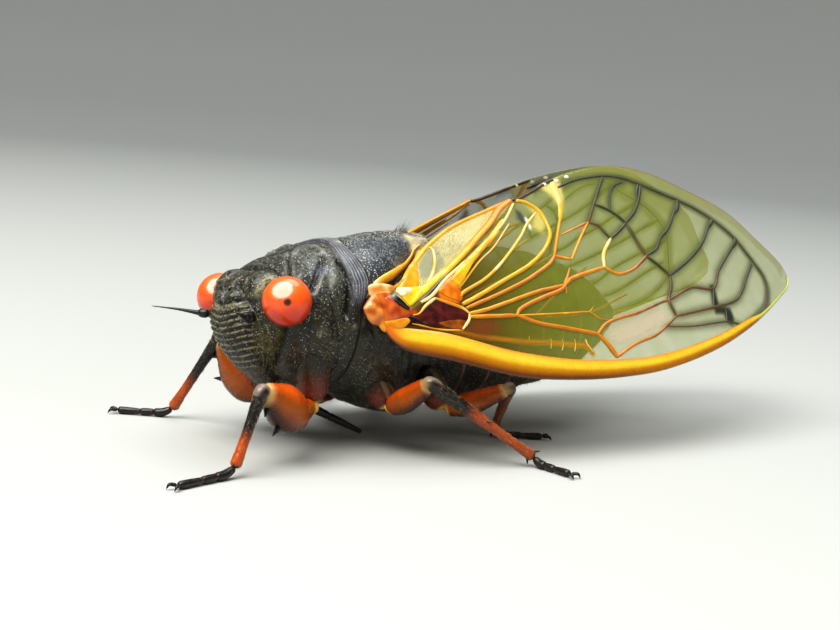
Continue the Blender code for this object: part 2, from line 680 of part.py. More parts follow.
def wing_sheet(spot, inset=0.0):
    """A place on the middle of the wing, worked out for the left side."""
    y, q = spot[0], spot[1]
    slope = WING_SLOPE - ROOT_UPRIGHT * (1 - part_of(ROOT_UPRIGHT_SPAN, y)) ** 2
    tuck = ROOT_TUCK * (1 - part_of(ROOT_TUCK_SPAN, y)) ** 2
    tuck += TIP_TUCK * part_of(TIP_TUCK_SPAN, y, False) ** 2
    camber = CAMBER * (1 - ((q - CAMBER_MIDDLE) / CAMBER_HALF) ** 2) - inset
    fold = (FOLD_END - FOLD_START).normalized()
    past = max((Vector((y, q)) - FOLD_START).dot(Vector((-fold.y, fold.x))), 0.0)
    past *= ease(part_of(FOLD_EASE_SPAN, y))
    x = WING_STAND_OUT - slope * q - tuck + WING_RISE * camber - FOLD_IN * past
    return Vector((x, y, WING_RISE * q + WING_LEVEL + WING_LEAN * camber - FOLD_DOWN * past))


def wing_out(spot, inset=0.0):
    """Outward direction of the wing at a place."""
    step = 0.05
    here = wing_sheet(spot, inset)
    onward = wing_sheet((spot[0] + step, spot[1]), inset) - here
    upward = wing_sheet((spot[0], spot[1] + step), inset) - here
    out = onward.cross(upward).normalized()
    return out if out.x > 0 else -out


def rounded(corners, parts):
    """A closed smooth outline through the given corners."""
    count = len(corners)
    outline = []
    for k in range(count):
        p0, p1, p2, p3 = (Vector(corners[(k + j) % count]) for j in (-1, 0, 1, 2))
        for part in range(parts):
            t = part / parts
            outline.append(0.5 * (2 * p1 + (p2 - p0) * t + (2 * p0 - 5 * p1 + 4 * p2 - p3) * t * t
                                  + (3 * p1 - p0 - 3 * p2 + p3) * t ** 3))
    return outline


def inside(spot, outline):
    """Whether a place lies inside a closed outline."""
    crossings = 0
    for k in range(len(outline)):
        a, b = outline[k], outline[(k + 1) % len(outline)]
        if (a.y > spot.y) != (b.y > spot.y):
            if spot.x < a.x + (spot.y - a.y) / (b.y - a.y) * (b.x - a.x):
                crossings += 1
    return crossings % 2 == 1


def stepped(route, step):
    """Points at even steps along a route of straight runs, with both ends and every corner kept."""
    points = [Vector(route[0])]
    for a, b in zip(route, route[1:]):
        a, b = Vector(a), Vector(b)
        parts = max(int((b - a).length / step + 0.5), 1)
        points += [a.lerp(b, k / parts) for k in range(1, parts + 1)]
    return points


def ambient_vein(outline):
    """The vein that runs round inside the outer margin, from the front corner to the hind corner."""
    count = len(outline)
    route = []
    for k in range(count):
        run = (outline[(k + 1) % count] - outline[k - 1]).normalized()
        spot = outline[k] + Vector((-run.y, run.x)) * AMBIENT_INSET
        if spot.x > 21.0 and spot.y > -1.8 and edge_distance(spot, outline) > AMBIENT_INSET * 0.8:
            route.append(spot)
    return route


def vein_rise(spot, veins):
    """Height of the ridges at a place: full on a vein's centre line and none at its sides."""
    return max(VEIN_HEIGHT * max(1 - edge_distance(spot, route, False) / half, 0.0) for route, half in veins)


def vein_mesh(veins, outline, spots):
    """Add every vein's centre line and two side lines to the flat plan, and return their edges."""
    edges = []

    def number(spot, reach):
        for k, known in enumerate(spots):
            if (known - spot).length < reach:
                return k
        spots.append(spot)
        return len(spots) - 1

    for route, _ in veins:
        marks = [number(spot, 0.2) for spot in route]
        edges += [(a, b) for a, b in zip(marks, marks[1:]) if a != b]
    for route, half in veins:
        others = [other for other, _ in veins if other is not route]
        for hand in (1, -1):
            last = None
            for k, spot in enumerate(route):
                run = (route[min(k + 1, len(route) - 1)] - route[max(k - 1, 0)]).normalized()
                side = spot + Vector((-run.y, run.x)) * half * hand
                clear = inside(side, outline) and edge_distance(side, outline) > 0.15
                if not clear or any(edge_distance(side, other, False) < half * 1.1 for other in others):
                    last = None
                    continue
                mark = number(side, 0.15)
                if last is not None and last != mark:
                    edges.append((last, mark))
                last = mark
    return edges


def wing_plate(name, corners, vein_plan, inset, side):
    """A thin curved plate with its veins raised on both faces, triangulated alike on both."""
    outline = rounded(corners, 2)
    count = len(outline)
    spots = list(outline)
    rims = [(k, (k + 1) % count) for k in range(count)]
    veins = [(stepped(route, VEIN_STEP), half) for route, half in vein_plan]
    if corners is FOREWING_OUTLINE:
        veins.append((ambient_vein(outline), VEIN_HALF_WIDTH))
    rims += vein_mesh(veins, outline, spots)
    low_y, high_y = min(p.x for p in outline), max(p.x for p in outline)
    low_q, high_q = min(p.y for p in outline), max(p.y for p in outline)
    rows = int((high_q - low_q) / WING_LATTICE) + 1
    columns = int((high_y - low_y) / WING_LATTICE) + 1
    for row in range(rows + 1):
        for column in range(columns + 1):
            spot = Vector((low_y + (column + 0.5 * (row % 2)) * WING_LATTICE, low_q + row * WING_LATTICE))
            if not inside(spot, outline) or edge_distance(spot, outline) < WING_LATTICE * 0.45:
                continue
            if min(edge_distance(spot, route, False) - half for route, half in veins) > 0.5:
                spots.append(spot)
    flat, _, faces, _, _, _ = delaunay_2d_cdt(spots, rims, [], 0, 0.02)
    kept = [face for face in faces if inside(sum((flat[v] for v in face), Vector((0, 0))) / 3, outline)]
    used = sorted({v for face in kept for v in face})
    number = {v: k for k, v in enumerate(used)}
    upper = []
    lower = []
    for v in used:
        centre = wing_sheet(flat[v], inset)
        out = wing_out(flat[v], inset)
        rise = vein_rise(flat[v], veins)
        clear_of_flank = ease((flat[v].x - 11.0) / 3.0)
        upper.append(centre + out * (WING_THICKNESS / 2 + rise))
        lower.append(centre - out * (WING_THICKNESS / 2 + rise * clear_of_flank))
    points = upper + lower
    total = len(used)
    solid = []
    sides = {}
    for face in kept:
        a, b, c = (number[v] for v in face)
        solid.append((a, b, c))
        solid.append((c + total, b + total, a + total))
        for u, v in ((a, b), (b, c), (c, a)):
            sides[(u, v)] = sides.get((u, v), 0) + 1
    for u, v in sides:
        if (v, u) not in sides:
            solid.append((v, u, u + total, v + total))
    placed = [Vector((p.x * side, p.y, p.z)) for p in points]
    return closed_object(name, placed, solid)


def wing_root(side, y_span, z_level, inset):
    """The stout hinge block from the wing's inner face to the flank it grows from."""
    middle_y = (y_span[0] + y_span[1]) / 2
    half = (y_span[1] - y_span[0]) / 2
    rings = []
    for share in (0.0, 0.5, 1.0):
        ring = []
        for k in range(HINGE_SIDES):
            turn = 2 * math.pi * k / HINGE_SIDES
            y = middle_y + half * math.cos(turn)
            z = z_level + HINGE_HALF_HEIGHT * math.sin(turn)
            q = (z - WING_LEVEL) / WING_RISE
            flank = flank_at(y, z) + ROOT_GAP
            outer = wing_sheet((y, q), inset).x
            ring.append(Vector((side * (flank + (outer - flank) * share), y, z)))
        rings.append(ring)
    return loft("root", rings)


def flank_at(y, z):
    """Half width of the trunk at a place along it and a height."""
    waist = smooth_through(WAIST_LINE, y)
    if z >= waist:
        power = smooth_through(ROOF_POWER, y)
        share = (z - waist) / (smooth_through(TOP, y) - waist)
    else:
        power = 2.3
        share = (waist - z) / (waist - smooth_through(BOTTOM, y))
    return smooth_through(HALF_WIDTH, y) * (1 - min(share, 1.0) ** power) ** (1 / power)


# Head, eyes, feelers and beak
ocelli = [ball("ocellus", spot, (OCELLUS_RADIUS,) * 3, 6, 8) for spot in OCELLI]
skull = join(cranium_shape(), [clypeus_shape()] + ocelli)
finish(cut(skull, [eye_socket(1), eye_socket(-1)]), "head", BLACK, 0.55)
for side, mark in ((1, "L"), (-1, "R")):
    eye = ball("eye", (side * EYE_SPREAD, 0, 0), (EYE_RADIUS,) * 3, 12, 20)
    finish(eye, "eye_" + mark, EYE_RED, 0.25)
    feeler = tube("feeler", [(side * x, y, z) for x, y, z in FEELER], FEELER_RADII, 6)
    finish(cut(feeler, [cranium_shape(GAP), clypeus_shape(GAP)]), "antenna_" + mark, BLACK, 0.4)
beak = tube("beak", along(BEAK_ROOT, BEAK_TIP, len(BEAK_RADII)), BEAK_RADII)
finish(cut(beak, [clypeus_shape(GAP)]), "rostrum", BLACK, 0.4)

# Trunk
fore_sockets = [coxa_tube(leg, GAP) for leg in LEGS if leg.startswith("fore")]
finish(cut(prothorax_shape(), [eye_socket(1), eye_socket(-1)] + fore_sockets), "prothorax", BLACK, 0.5)
mid_sockets = [coxa_tube(leg, GAP) for leg in LEGS if not leg.startswith("fore")]
finish(cut(mesothorax_shape(), mid_sockets), "mesothorax", BLACK, 0.35)
hind_sockets = [coxa_tube(leg, GAP) for leg in LEGS if leg.startswith("hind")]
finish(cut(abdomen_shape(), hind_sockets), "abdomen", BLACK, 0.45)

# Legs
for leg in LEGS:
    finish(coxa_tube(leg), "coxa_" + leg, BLACK, 0.45)
    thigh = femur_tube(leg)
    shin = tibia_tube(leg)
    if leg.startswith("fore"):
        join(thigh, thigh_spines(leg))
    else:
        join(shin, shin_spines(leg))
    finish(cut(thigh, [coxa_tube(leg, GAP)]), "femur_" + leg, ORANGE, 0.35)
    finish(cut(shin, [femur_tube(leg, GAP)]), "tibia_" + leg, TIBIA_BROWN, 0.4)
    finish(cut(tarsus_tube(leg), [tibia_tube(leg, GAP)]), "tarsus_" + leg, BLACK, 0.4)

# Wings
for side, mark in ((1, "L"), (-1, "R")):
    fore = wing_plate("fore", FOREWING_OUTLINE, FOREWING_VEINS, 0.0, side)
    join(fore, [wing_root(side, FOREWING_ROOT, FOREWING_ROOT_LEVEL, 0.0)])
    finish(fore, "forewing_" + mark, MEMBRANE, 0.25)
    hind = wing_plate("hind", HINDWING_OUTLINE, HINDWING_VEINS, HINDWING_INSET, side)
    join(hind, [wing_root(side, HINDWING_ROOT, HINDWING_ROOT_LEVEL, HINDWING_INSET)])
    finish(hind, "hindwing_" + mark, MEMBRANE, 0.25)

# Set the whole insect over the origin
bpy.context.view_layer.update()
nodes = [piece for piece in bpy.data.objects if piece.type == "MESH"]
corners = [node.matrix_world @ v.co for node in nodes for v in node.data.vertices]
stance.location.x -= (min(p.x for p in corners) + max(p.x for p in corners)) / 2
stance.location.y -= (min(p.y for p in corners) + max(p.y for p in corners)) / 2
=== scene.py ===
"""A periodical cicada at life size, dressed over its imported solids."""
import math

import bmesh
import bpy
import numpy as np
from mathutils import Euler, Matrix, Vector, kdtree, noise


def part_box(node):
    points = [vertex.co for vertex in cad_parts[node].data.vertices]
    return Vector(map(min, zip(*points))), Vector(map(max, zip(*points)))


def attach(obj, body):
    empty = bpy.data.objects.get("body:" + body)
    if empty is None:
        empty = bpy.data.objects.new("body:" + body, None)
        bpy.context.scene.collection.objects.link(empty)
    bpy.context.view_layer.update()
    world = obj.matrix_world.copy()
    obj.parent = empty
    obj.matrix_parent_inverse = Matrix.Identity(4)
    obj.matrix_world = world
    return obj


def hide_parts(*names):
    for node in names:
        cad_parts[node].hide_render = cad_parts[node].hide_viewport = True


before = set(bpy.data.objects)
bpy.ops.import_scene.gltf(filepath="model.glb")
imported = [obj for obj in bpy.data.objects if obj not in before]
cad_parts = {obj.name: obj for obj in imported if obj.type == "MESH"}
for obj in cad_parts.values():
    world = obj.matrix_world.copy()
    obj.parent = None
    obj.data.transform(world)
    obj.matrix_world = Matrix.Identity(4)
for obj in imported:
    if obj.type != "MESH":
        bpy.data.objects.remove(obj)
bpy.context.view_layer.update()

# Stance: every piece is worked out in millimetres in the insect's own frame, with its origin midway
# between the eyes, +X to its left and +Y to its tail, and is then tilted and set on its feet.
MM = 0.001
TAIL_LIFT = math.radians(3.0)
LEAN_RIGHT = math.radians(-7.0)
EYES = {"L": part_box("eye_L"), "R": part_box("eye_R")}
BETWEEN_EYES = (EYES["L"][0] + EYES["L"][1] + EYES["R"][0] + EYES["R"][1]) / 4
TILT = Euler((TAIL_LIFT, LEAN_RIGHT, 0.0)).to_matrix()
STANCE = Matrix.Translation(BETWEEN_EYES) @ TILT.to_4x4() @ Matrix.Scale(MM, 4)


def from_floor(x, y, height):
    """A place given in plan before the insect was centred, and above the level floor, in its own frame."""
    return TILT.transposed() @ Vector((x, y, height - BETWEEN_EYES.z / MM))


# Trunk: thorax and abdomen are one hard black skin, stiffened by rolled edges where its plates meet.
# The shield behind the head has slanting furrows and a ribbed collar, and nine rings close the tail.
HALF_WIDTH = ((0.0, 3.5), (1.2, 3.9), (3.0, 4.2), (5.0, 4.4), (6.5, 4.4), (8.0, 3.9), (9.5, 3.0),
              (11.0, 2.7), (12.5, 3.0), (15.0, 3.6), (19.0, 3.8), (22.5, 3.3), (25.5, 2.2), (27.4, 1.0),
              (28.4, 0.4))
TOP = ((0.0, 1.7), (1.2, 2.2), (3.4, 2.95), (5.0, 3.1), (6.5, 3.25), (8.5, 3.5), (10.6, 3.45),
       (11.8, 3.2), (13.0, 2.8), (16.0, 2.4), (20.0, 1.8), (24.0, 0.6), (26.5, -0.9), (28.4, -2.4))
BOTTOM = ((0.0, -3.9), (1.2, -4.75), (3.0, -5.3), (5.0, -5.8), (6.5, -6.6), (8.5, -7.3), (11.0, -7.2),
          (14.0, -7.0), (19.0, -6.9), (22.5, -6.4), (25.5, -5.3), (27.4, -4.2), (28.4, -3.4))
WAIST_LINE = ((0.0, -0.5), (5.0, -1.0), (10.0, -1.8), (16.0, -2.4), (24.0, -2.7), (28.4, -2.9))
ROOF_POWER = ((0.0, 2.3), (6.0, 2.3), (9.0, 1.9), (11.5, 1.75), (16.0, 1.8), (28.4, 2.0))
BELLY_POWER = 2.3
TRUNK_END = 28.3
TRUNK_RINGS = ((0.4, 6.5, 170), (6.5, 12.8, 110), (12.8, 28.3, 150))
TRUNK_SIDES = 144
COLLAR_FRONT = ((-4.5, 3.0), (-1.0, 3.5), (0.06, 3.95), (0.84, 4.04), (1.6, 3.98), (2.24, 3.92),
                (2.79, 4.05), (3.06, 4.55), (3.3, 4.8))
COLLAR_BACK = ((-4.5, 3.9), (-1.0, 4.45), (0.2, 4.95), (0.8, 5.2), (1.6, 5.2), (2.2, 5.1), (2.8, 5.12),
               (3.05, 5.4), (3.3, 5.7))
# Folds of the shield behind the head, as runs on its left half: how high each stands and how wide it is
SHIELD_FOLDS = (
    (((0.9, 1.95, 2.45), (1.29, 1.68, 2.27), (2.12, 1.21, 1.86), (2.77, 0.82, 1.34)), -0.42, 0.13),
    (((1.26, 1.94, 2.37), (0.74, 2.65, 2.67), (0.86, 3.12, 2.82), (1.44, 3.35, 2.76), (2.17, 3.33, 2.54),
      (2.74, 3.12, 2.22)), 0.17, 0.2),
    (((2.02, 1.62, 2.06), (2.51, 1.6, 1.84), (3.14, 1.37, 1.31)), 0.12, 0.3),
    (((2.55, 3.1, 2.3), (2.89, 2.95, 2.06), (3.24, 2.41, 1.59), (3.55, 1.97, 1.07), (3.75, 1.6, 0.54)),
     -0.42, 0.18),
    (((2.75, 3.5, 2.26), (3.44, 3.3, 1.66), (3.86, 3.1, 1.0), (4.03, 2.76, 0.36), (4.1, 2.4, -0.4)), 0.16,
     0.3),
    (((3.2, 3.75, 1.95), (3.5, 3.8, 1.69), (3.84, 3.85, 1.18), (4.11, 3.78, 0.51), (4.22, 3.6, -0.09),
      (4.2, 3.5, -0.9)), -0.44, 0.2),
    (((0.0, 0.9, 2.06), (0.0, 2.4, 2.6)), 0.08, 0.35),
    (((0.6, 1.0, 2.0), (0.7, 1.76, 2.37), (1.4, 1.2, 2.1), (2.17, 0.69, 1.55)), 0.09, 0.3),
)
# Folds of the flank, each with how pale its edge is
FLANK_FOLDS = (
    (((4.0, 1.9, -0.9), (3.8, 1.9, -2.2), (3.5, 2.1, -3.6), (3.2, 2.3, -4.6)), 0.2, 0.42, 0.0),
    (((4.05, 1.4, -1.4), (3.9, 2.5, -1.75), (4.2, 3.8, -1.65), (4.3, 4.6, -1.5)), 0.12, 0.13, 0.5),
    (((4.04, 5.18, -3.24), (3.8, 5.4, -3.7), (3.68, 5.35, -4.02), (3.12, 5.23, -4.69), (2.67, 4.85, -4.69),
      (3.16, 4.02, -4.11)), 0.16, 0.11, 0.8),
    (((3.88, 5.64, -3.75), (3.92, 6.4, -3.93), (3.51, 7.33, -4.63)), 0.13, 0.11, 0.8),
    (((4.3, 4.9, -1.2), (4.3, 5.4, -2.2), (4.0, 5.0, -3.1)), -0.2, 0.13, 0.0),
    (((4.3, 6.4, -1.9), (4.2, 7.3, -2.9), (3.7, 8.0, -4.1)), -0.18, 0.15, 0.0),
)
# The broad lobes of the shield, and the cream corners of the cross-shaped plate: place, width and strength
SHIELD_LOBES = (((1.9, 2.4, 2.5), 1.0, 1.0), ((3.7, 3.1, 1.0), 0.7, 1.0))
CROSS_CORNERS = (((1.25, 10.9, 2.7), 0.45, 1.0), ((1.5, 10.7, 2.3), 0.35, 0.8),
                 ((0.8, 10.7, 3.05), 0.35, 0.7))
# Where a blue painted sheen lies on the shield: place, width and strength
SHIELD_SHEEN_SPOT = (((3.3, 2.55, 1.75), 0.42, 1.0),)
COLLAR_SPOT = (((1.5, 5.2, 3.0), 0.3, 1.0),)
FLANK_KNOB = (3.87, 1.75, -1.88)
KNOB_RADIUS = 0.22
COLLAR_RIBS = 6.5
WAIST_SIDE = 11.4
WAIST_STEP = 0.9
TAIL_RINGS = 9
RING_STEP = 0.13
BLACK = (0.012, 0.012, 0.012)
COLLAR_SHEEN_SLATE = (0.05, 0.055, 0.07)
FISSURE_PALE = (0.2, 0.2, 0.19)
OLIVE_BLACK = (0.022, 0.02, 0.012)
SHIELD_GREY = (0.045, 0.045, 0.036)
LOBE_GREY = (0.085, 0.088, 0.07)
FURROW_SHADE = (0.004, 0.004, 0.004)
SHEEN_BLUE = (0.07, 0.085, 0.12)
RIB_SHEEN_SILVER = (0.36, 0.36, 0.37)
COLLAR_CREAM = (0.6, 0.56, 0.42)
KNOB_OLIVE = (0.17, 0.17, 0.08)
BACK_SHEEN_BLUE = (0.035, 0.04, 0.05)
SHOULDER_RED = (0.08, 0.01, 0.006)
CORNER_CREAM = (0.7, 0.6, 0.34)
CROSS_TAN = (0.5, 0.44, 0.3)
RING_RUST = (0.3, 0.1, 0.02)
FOLD_OLIVE = (0.24, 0.23, 0.12)
LIT_EDGE_OLIVE = (0.22, 0.2, 0.11)
GAP_SHADE = (0.003, 0.003, 0.002)


def smooth_through(stations, at):
    """Value at one place of a smooth curve through a few (place, value) stations."""
    if at <= stations[0][0]:
        return stations[0][1]
    if at >= stations[-1][0]:
        return stations[-1][1]
    for k in range(len(stations) - 1):
        (a, value_a), (b, value_b) = stations[k], stations[k + 1]
        if at <= b:
            before, after = stations[max(k - 1, 0)], stations[min(k + 2, len(stations) - 1)]
            slope_a = (value_b - before[1]) / (b - before[0])
            slope_b = (after[1] - value_a) / (after[0] - a)
            t = (at - a) / (b - a)
            rise = 3 * t * t - 2 * t * t * t
            bend = (t - 2 * t * t + t * t * t) * slope_a + (t * t * t - t * t) * slope_b
            return value_a + (value_b - value_a) * rise + bend * (b - a)
    return stations[-1][1]


def ease(t):
    t = min(max(t, 0.0), 1.0)
    return t * t * (3 - 2 * t)


def signed_power(value, power):
    return math.copysign(abs(value) ** power, value)


def mixed(low, high, share):
    share = min(max(share, 0.0), 1.0)
    return tuple(a + (b - a) * share for a, b in zip(low, high))


def trunk_point(y, turn):
    """A place on the bare trunk; turn 0 is the left side and a quarter turn is the back."""
    waist = smooth_through(WAIST_LINE, y)
    up = math.sin(turn)
    reach = smooth_through(TOP, y) - waist if up >= 0 else waist - smooth_through(BOTTOM, y)
    power = 2 / (smooth_through(ROOF_POWER, y) if up >= 0 else BELLY_POWER)
    x = smooth_through(HALF_WIDTH, y) * signed_power(math.cos(turn), power)
    return Vector((x, y, waist + reach * signed_power(up, power)))


def collar_seam(z):
    return smooth_through(COLLAR_BACK, z)


def waist_seam(z):
    return WAIST_SIDE + WAIST_STEP * ease((z - 1.0) / 1.6)


def distance_to_run(spot, a, b):
    run = b - a
    t = min(max((spot - a).dot(run) / run.length_squared, 0.0), 1.0)
    return (spot - a - run * t).length


def off_run(spot, run):
    """How far a place is from a line of places."""
    return min(distance_to_run(spot, a, b) for a, b in zip(run, run[1:]))


def bell(distance, width):
    return math.exp(-(distance / width) ** 2)


def near_spots(place, spots):
    """How much of a few round soft spots reaches a place."""
    return sum(strength * bell((place - Vector(spot)).length, width) for spot, width, strength in spots)


def vectors(run):
    return [Vector(p) for p in run]


SHOULDER_LINE = vectors(((4.05, 5.5, 0.45), (4.08, 6.2, 0.75), (3.8, 7.05, 0.98), (3.1, 8.2, 1.25),
                         (2.43, 9.2, 1.5), (1.92, 10.0, 1.88), (1.6, 10.5, 2.25), (1.35, 11.2, 2.6)))
SHIELD_RUNS = [(vectors(run), rise, width) for run, rise, width in SHIELD_FOLDS]
FLANK_RUNS = [(vectors(run), rise, width, pale) for run, rise, width, pale in FLANK_FOLDS]


def trunk_relief(p):
    """How far the skin stands out at a place, and its colour with its gloss, painted sheen and painted shade
    included.
    """
    side = Vector((abs(p.x), p.y, p.z))
    to_collar = p.y - collar_seam(p.z)
    to_waist = p.y - waist_seam(p.z)
    upper = ease((p.z - smooth_through(WAIST_LINE, p.y)) / 1.2)
    rough = noise.noise(p * 2.1)
    fine = noise.noise(p * 7.0)
    out = 0.025 * rough + 0.012 * fine
    colour = mixed(OLIVE_BLACK, BLACK, upper)
    gloss = 0.42 + 0.1 * rough
    if to_collar < 0:
        front = smooth_through(COLLAR_FRONT, p.z)
        colour = mixed(colour, SHIELD_GREY, upper * ease(0.55 + fine))
        lobe = near_spots(side, SHIELD_LOBES)
        colour = mixed(colour, LOBE_GREY, lobe * upper * ease(0.7 + fine))
        reaches = []
        for run, rise, width in SHIELD_RUNS:
            reach = off_run(side, run)
            out += rise * bell(reach, width)
            reaches.append(reach)
        inner_cleft, inner_ridge, outer_cleft, rim_cleft = (reaches[k] for k in (0, 1, 3, 5))
        lips = 0.75 * bell(inner_cleft - 0.2, 0.07) + 0.6 * bell(inner_ridge, 0.12)
        lips += 0.5 * bell(outer_cleft - 0.24, 0.08)
        colour = mixed(colour, FISSURE_PALE, lips)
        # The furrows of the shield are painted near black: painted shade in the clefts.
        depth = bell(inner_cleft, 0.13) + bell(outer_cleft, 0.17) + 1.4 * bell(rim_cleft, 0.22)
        colour = mixed(colour, FURROW_SHADE, depth)
        # A blue painted sheen on the shield's side, made glossier there.
        sheen_spot = near_spots(side, SHIELD_SHEEN_SPOT)
        colour, gloss = mixed(colour, SHEEN_BLUE, sheen_spot), gloss - 0.2 * sheen_spot
        out += 0.035 * (1 - ease(-to_collar - 0.2)) + 0.04 * noise.noise(Vector((p.x * 1.6, p.y * 3.0, p.z)))
        across = (p.y - front) / (collar_seam(p.z) - front)
        collar = ease(across / 0.12)
        ribs = math.sin(2 * math.pi * COLLAR_RIBS * across + 2.2 * noise.noise(p * 1.6))
        out += 0.1 * collar + 0.022 * collar * ribs - 0.06 * bell(across, 0.07)
        # The upper collar is painted a blue-grey sheen, with a silver painted sheen along its ribs.
        shine = upper * (0.6 + 0.4 * noise.noise(p * 0.9))
        colour = mixed(colour, mixed(COLLAR_SHEEN_SLATE, RIB_SHEEN_SILVER, ease(ribs) * shine), collar * upper)
        cream = near_spots(side, COLLAR_SPOT)
        colour = mixed(colour, COLLAR_CREAM, cream * 1.3 * ease(0.6 + fine * 1.5))
        flank = 1 - ease((p.z + 0.2) / 0.8)
        out += flank * (0.1 * noise.noise(p * 1.5) - 0.1 * bell(p.y - 2.6 + 0.25 * p.z, 0.16))
        knob = ease((KNOB_RADIUS - (side - Vector(FLANK_KNOB)).length) / 0.16)
        out, colour = out + 0.16 * knob, mixed(colour, KNOB_OLIVE, knob)
    elif to_waist < 0:
        # The top of the back is painted a glossier blue-grey: painted sheen.
        back = upper * ease(to_collar / 0.3)
        out -= 0.02 * back
        colour = mixed(colour, BACK_SHEEN_BLUE, back)
        edge = off_run(side, SHOULDER_LINE)
        out -= 0.06 * bell(edge - 0.3, 0.1)
        colour = mixed(colour, SHOULDER_RED, bell(edge, 0.3))
        colour = mixed(colour, CORNER_CREAM, near_spots(side, CROSS_CORNERS) * 1.2)
        gloss = gloss * (1 - 0.25 * back)
        shield = bell(abs(p.x) - 0.9 - 0.25 * (11.6 - p.y), 0.22) * ease((p.y - 9.6) / 0.8) * upper
        out += 0.12 * shield
        colour = mixed(colour, CROSS_TAN, shield * ease((p.y - 10.4) / 0.4) * 0.8)
        flank = (1 - upper) * (0.5 + 0.5 * math.sin(p.y * 2.6 + p.z * 1.2))
        out += 0.06 * flank + (1 - upper) * 0.08 * noise.noise(p * 1.6)
    else:
        span = (TRUNK_END - waist_seam(p.z)) / TAIL_RINGS
        within = (to_waist % span) / span
        size = 1 - 0.5 * to_waist / (TRUNK_END - WAIST_SIDE)
        out += RING_STEP * size * (ease(within / 0.85) - 0.5) - 0.08 * size * bell(within - 1.0, 0.05)
        rim = ease((within - 0.86) / 0.08)
        colour = mixed(colour, RING_RUST, rim * (1 - 0.75 * upper))
    if to_waist < -1.5 and p.z < 0:
        for run, rise, width, pale in FLANK_RUNS:
            reach = off_run(side, run)
            out += rise * bell(reach, width)
            colour = mixed(colour, FOLD_OLIVE, pale * bell(reach, width * 0.7) * ease(0.65 + fine))
        # A painted highlight along the fold's lower edge, and painted shade in the gap just beyond it.
        reach = off_run(side, FLANK_RUNS[0][0])
        lit_edge = 0.4 * ease((-2.0 - p.z) / 0.8) * bell(reach - 0.55, 0.06) * ease(0.3 + 1.6 * fine)
        colour = mixed(colour, LIT_EDGE_OLIVE, lit_edge)
        colour = mixed(colour, GAP_SHADE, 0.9 * bell(reach - 0.72, 0.09))
    out -= 0.2 * bell(to_collar, 0.08) + 0.14 * bell(to_waist, 0.12)
    return out, colour, gloss


def point_layer(mesh, name, values, kind="FLOAT", field="value"):
    """A layer of a mesh that holds a number, vector or colour for each point."""
    layer = mesh.attributes.new(name, kind, "POINT")
    layer.data.foreach_set(field, np.array(values, float).ravel())


def vector_layer(mesh, name, values):
    point_layer(mesh, name, values, "FLOAT_VECTOR", "vector")


def colour_layer(mesh, name, values):
    point_layer(mesh, name, values, "FLOAT_COLOR", "color")


def face_outwards(mesh):
    """Turn all faces outwards and shade them as one smooth skin."""
    shape = bmesh.new()
    shape.from_mesh(mesh)
    bmesh.ops.recalc_face_normals(shape, faces=shape.faces)
    shape.to_mesh(mesh)
    shape.free()
    mesh.shade_smooth()


def plain_mesh(name, points, faces, edges=()):
    mesh = bpy.data.meshes.new(name)
    mesh.from_pydata([tuple(p) for p in points], edges, faces)
    return mesh


def in_scene(name, data):
    """A new object at the origin."""
    piece = bpy.data.objects.new(name, data)
    bpy.context.scene.collection.objects.link(piece)
    return piece


def skin_object(name, points, faces, paint):
    """One piece from points in the insect's frame, with its colour and gloss painted point by point."""
    mesh = plain_mesh(name, points, faces)
    mesh.transform(STANCE)
    face_outwards(mesh)
    colour_layer(mesh, "paint", paint)
    return in_scene(name, mesh)


def ring_faces(rings, sides, closed=True):
    """Quads between rings of points, with a fan of triangles to a last point at each end."""
    faces = []
    for r in range(rings - 1):
        for k in range(sides):
            n = (k + 1) % sides
            faces.append((r * sides + k, r * sides + n, (r + 1) * sides + n, (r + 1) * sides + k))
    if closed:
        first, last = rings * sides, rings * sides + 1
        for k in range(sides):
            n = (k + 1) % sides
            faces.append((k, n, first))
            faces.append(((rings - 1) * sides + k, (rings - 1) * sides + n, last))
    return faces


trunk_stations = [start + (end - start) * k / count for start, end, count in TRUNK_RINGS
                  for k in range(count)] + [TRUNK_RINGS[-1][1]]
trunk_points, trunk_paint, trunk_unwrap = [], [], []
for r, y in enumerate(trunk_stations):
    middle = Vector((0, y, smooth_through(WAIST_LINE, y)))
    for k in range(TRUNK_SIDES):
        turn = 2 * math.pi * k / TRUNK_SIDES
        p = trunk_point(y, turn)
        out, colour, gloss = trunk_relief(p)
        trunk_points.append(p + (p - middle).normalized() * out)
        trunk_paint.append((*colour, gloss))
        trunk_unwrap.append((0.02 + 0.96 * y / TRUNK_END, 0.02 + 0.96 * k / TRUNK_SIDES, 0.0))
for y in (trunk_stations[0], TRUNK_END + 0.05):
    trunk_points.append(Vector((0, y, smooth_through(WAIST_LINE, y))))
    trunk_paint.append((*BLACK, 0.5))
    trunk_unwrap.append((0.01, 0.01, 0.0))
trunk = skin_object("trunk_skin", trunk_points, ring_faces(len(trunk_stations), TRUNK_SIDES), trunk_paint)


def set_sockets(node, sockets):
    """Give a node's sockets their values, or a link where the value is a wire."""
    for key, value in sockets.items():
        if isinstance(value, Wire):
            node.id_data.links.new(value.socket, node.inputs[key])
        else:
            node.inputs[key].default_value = value


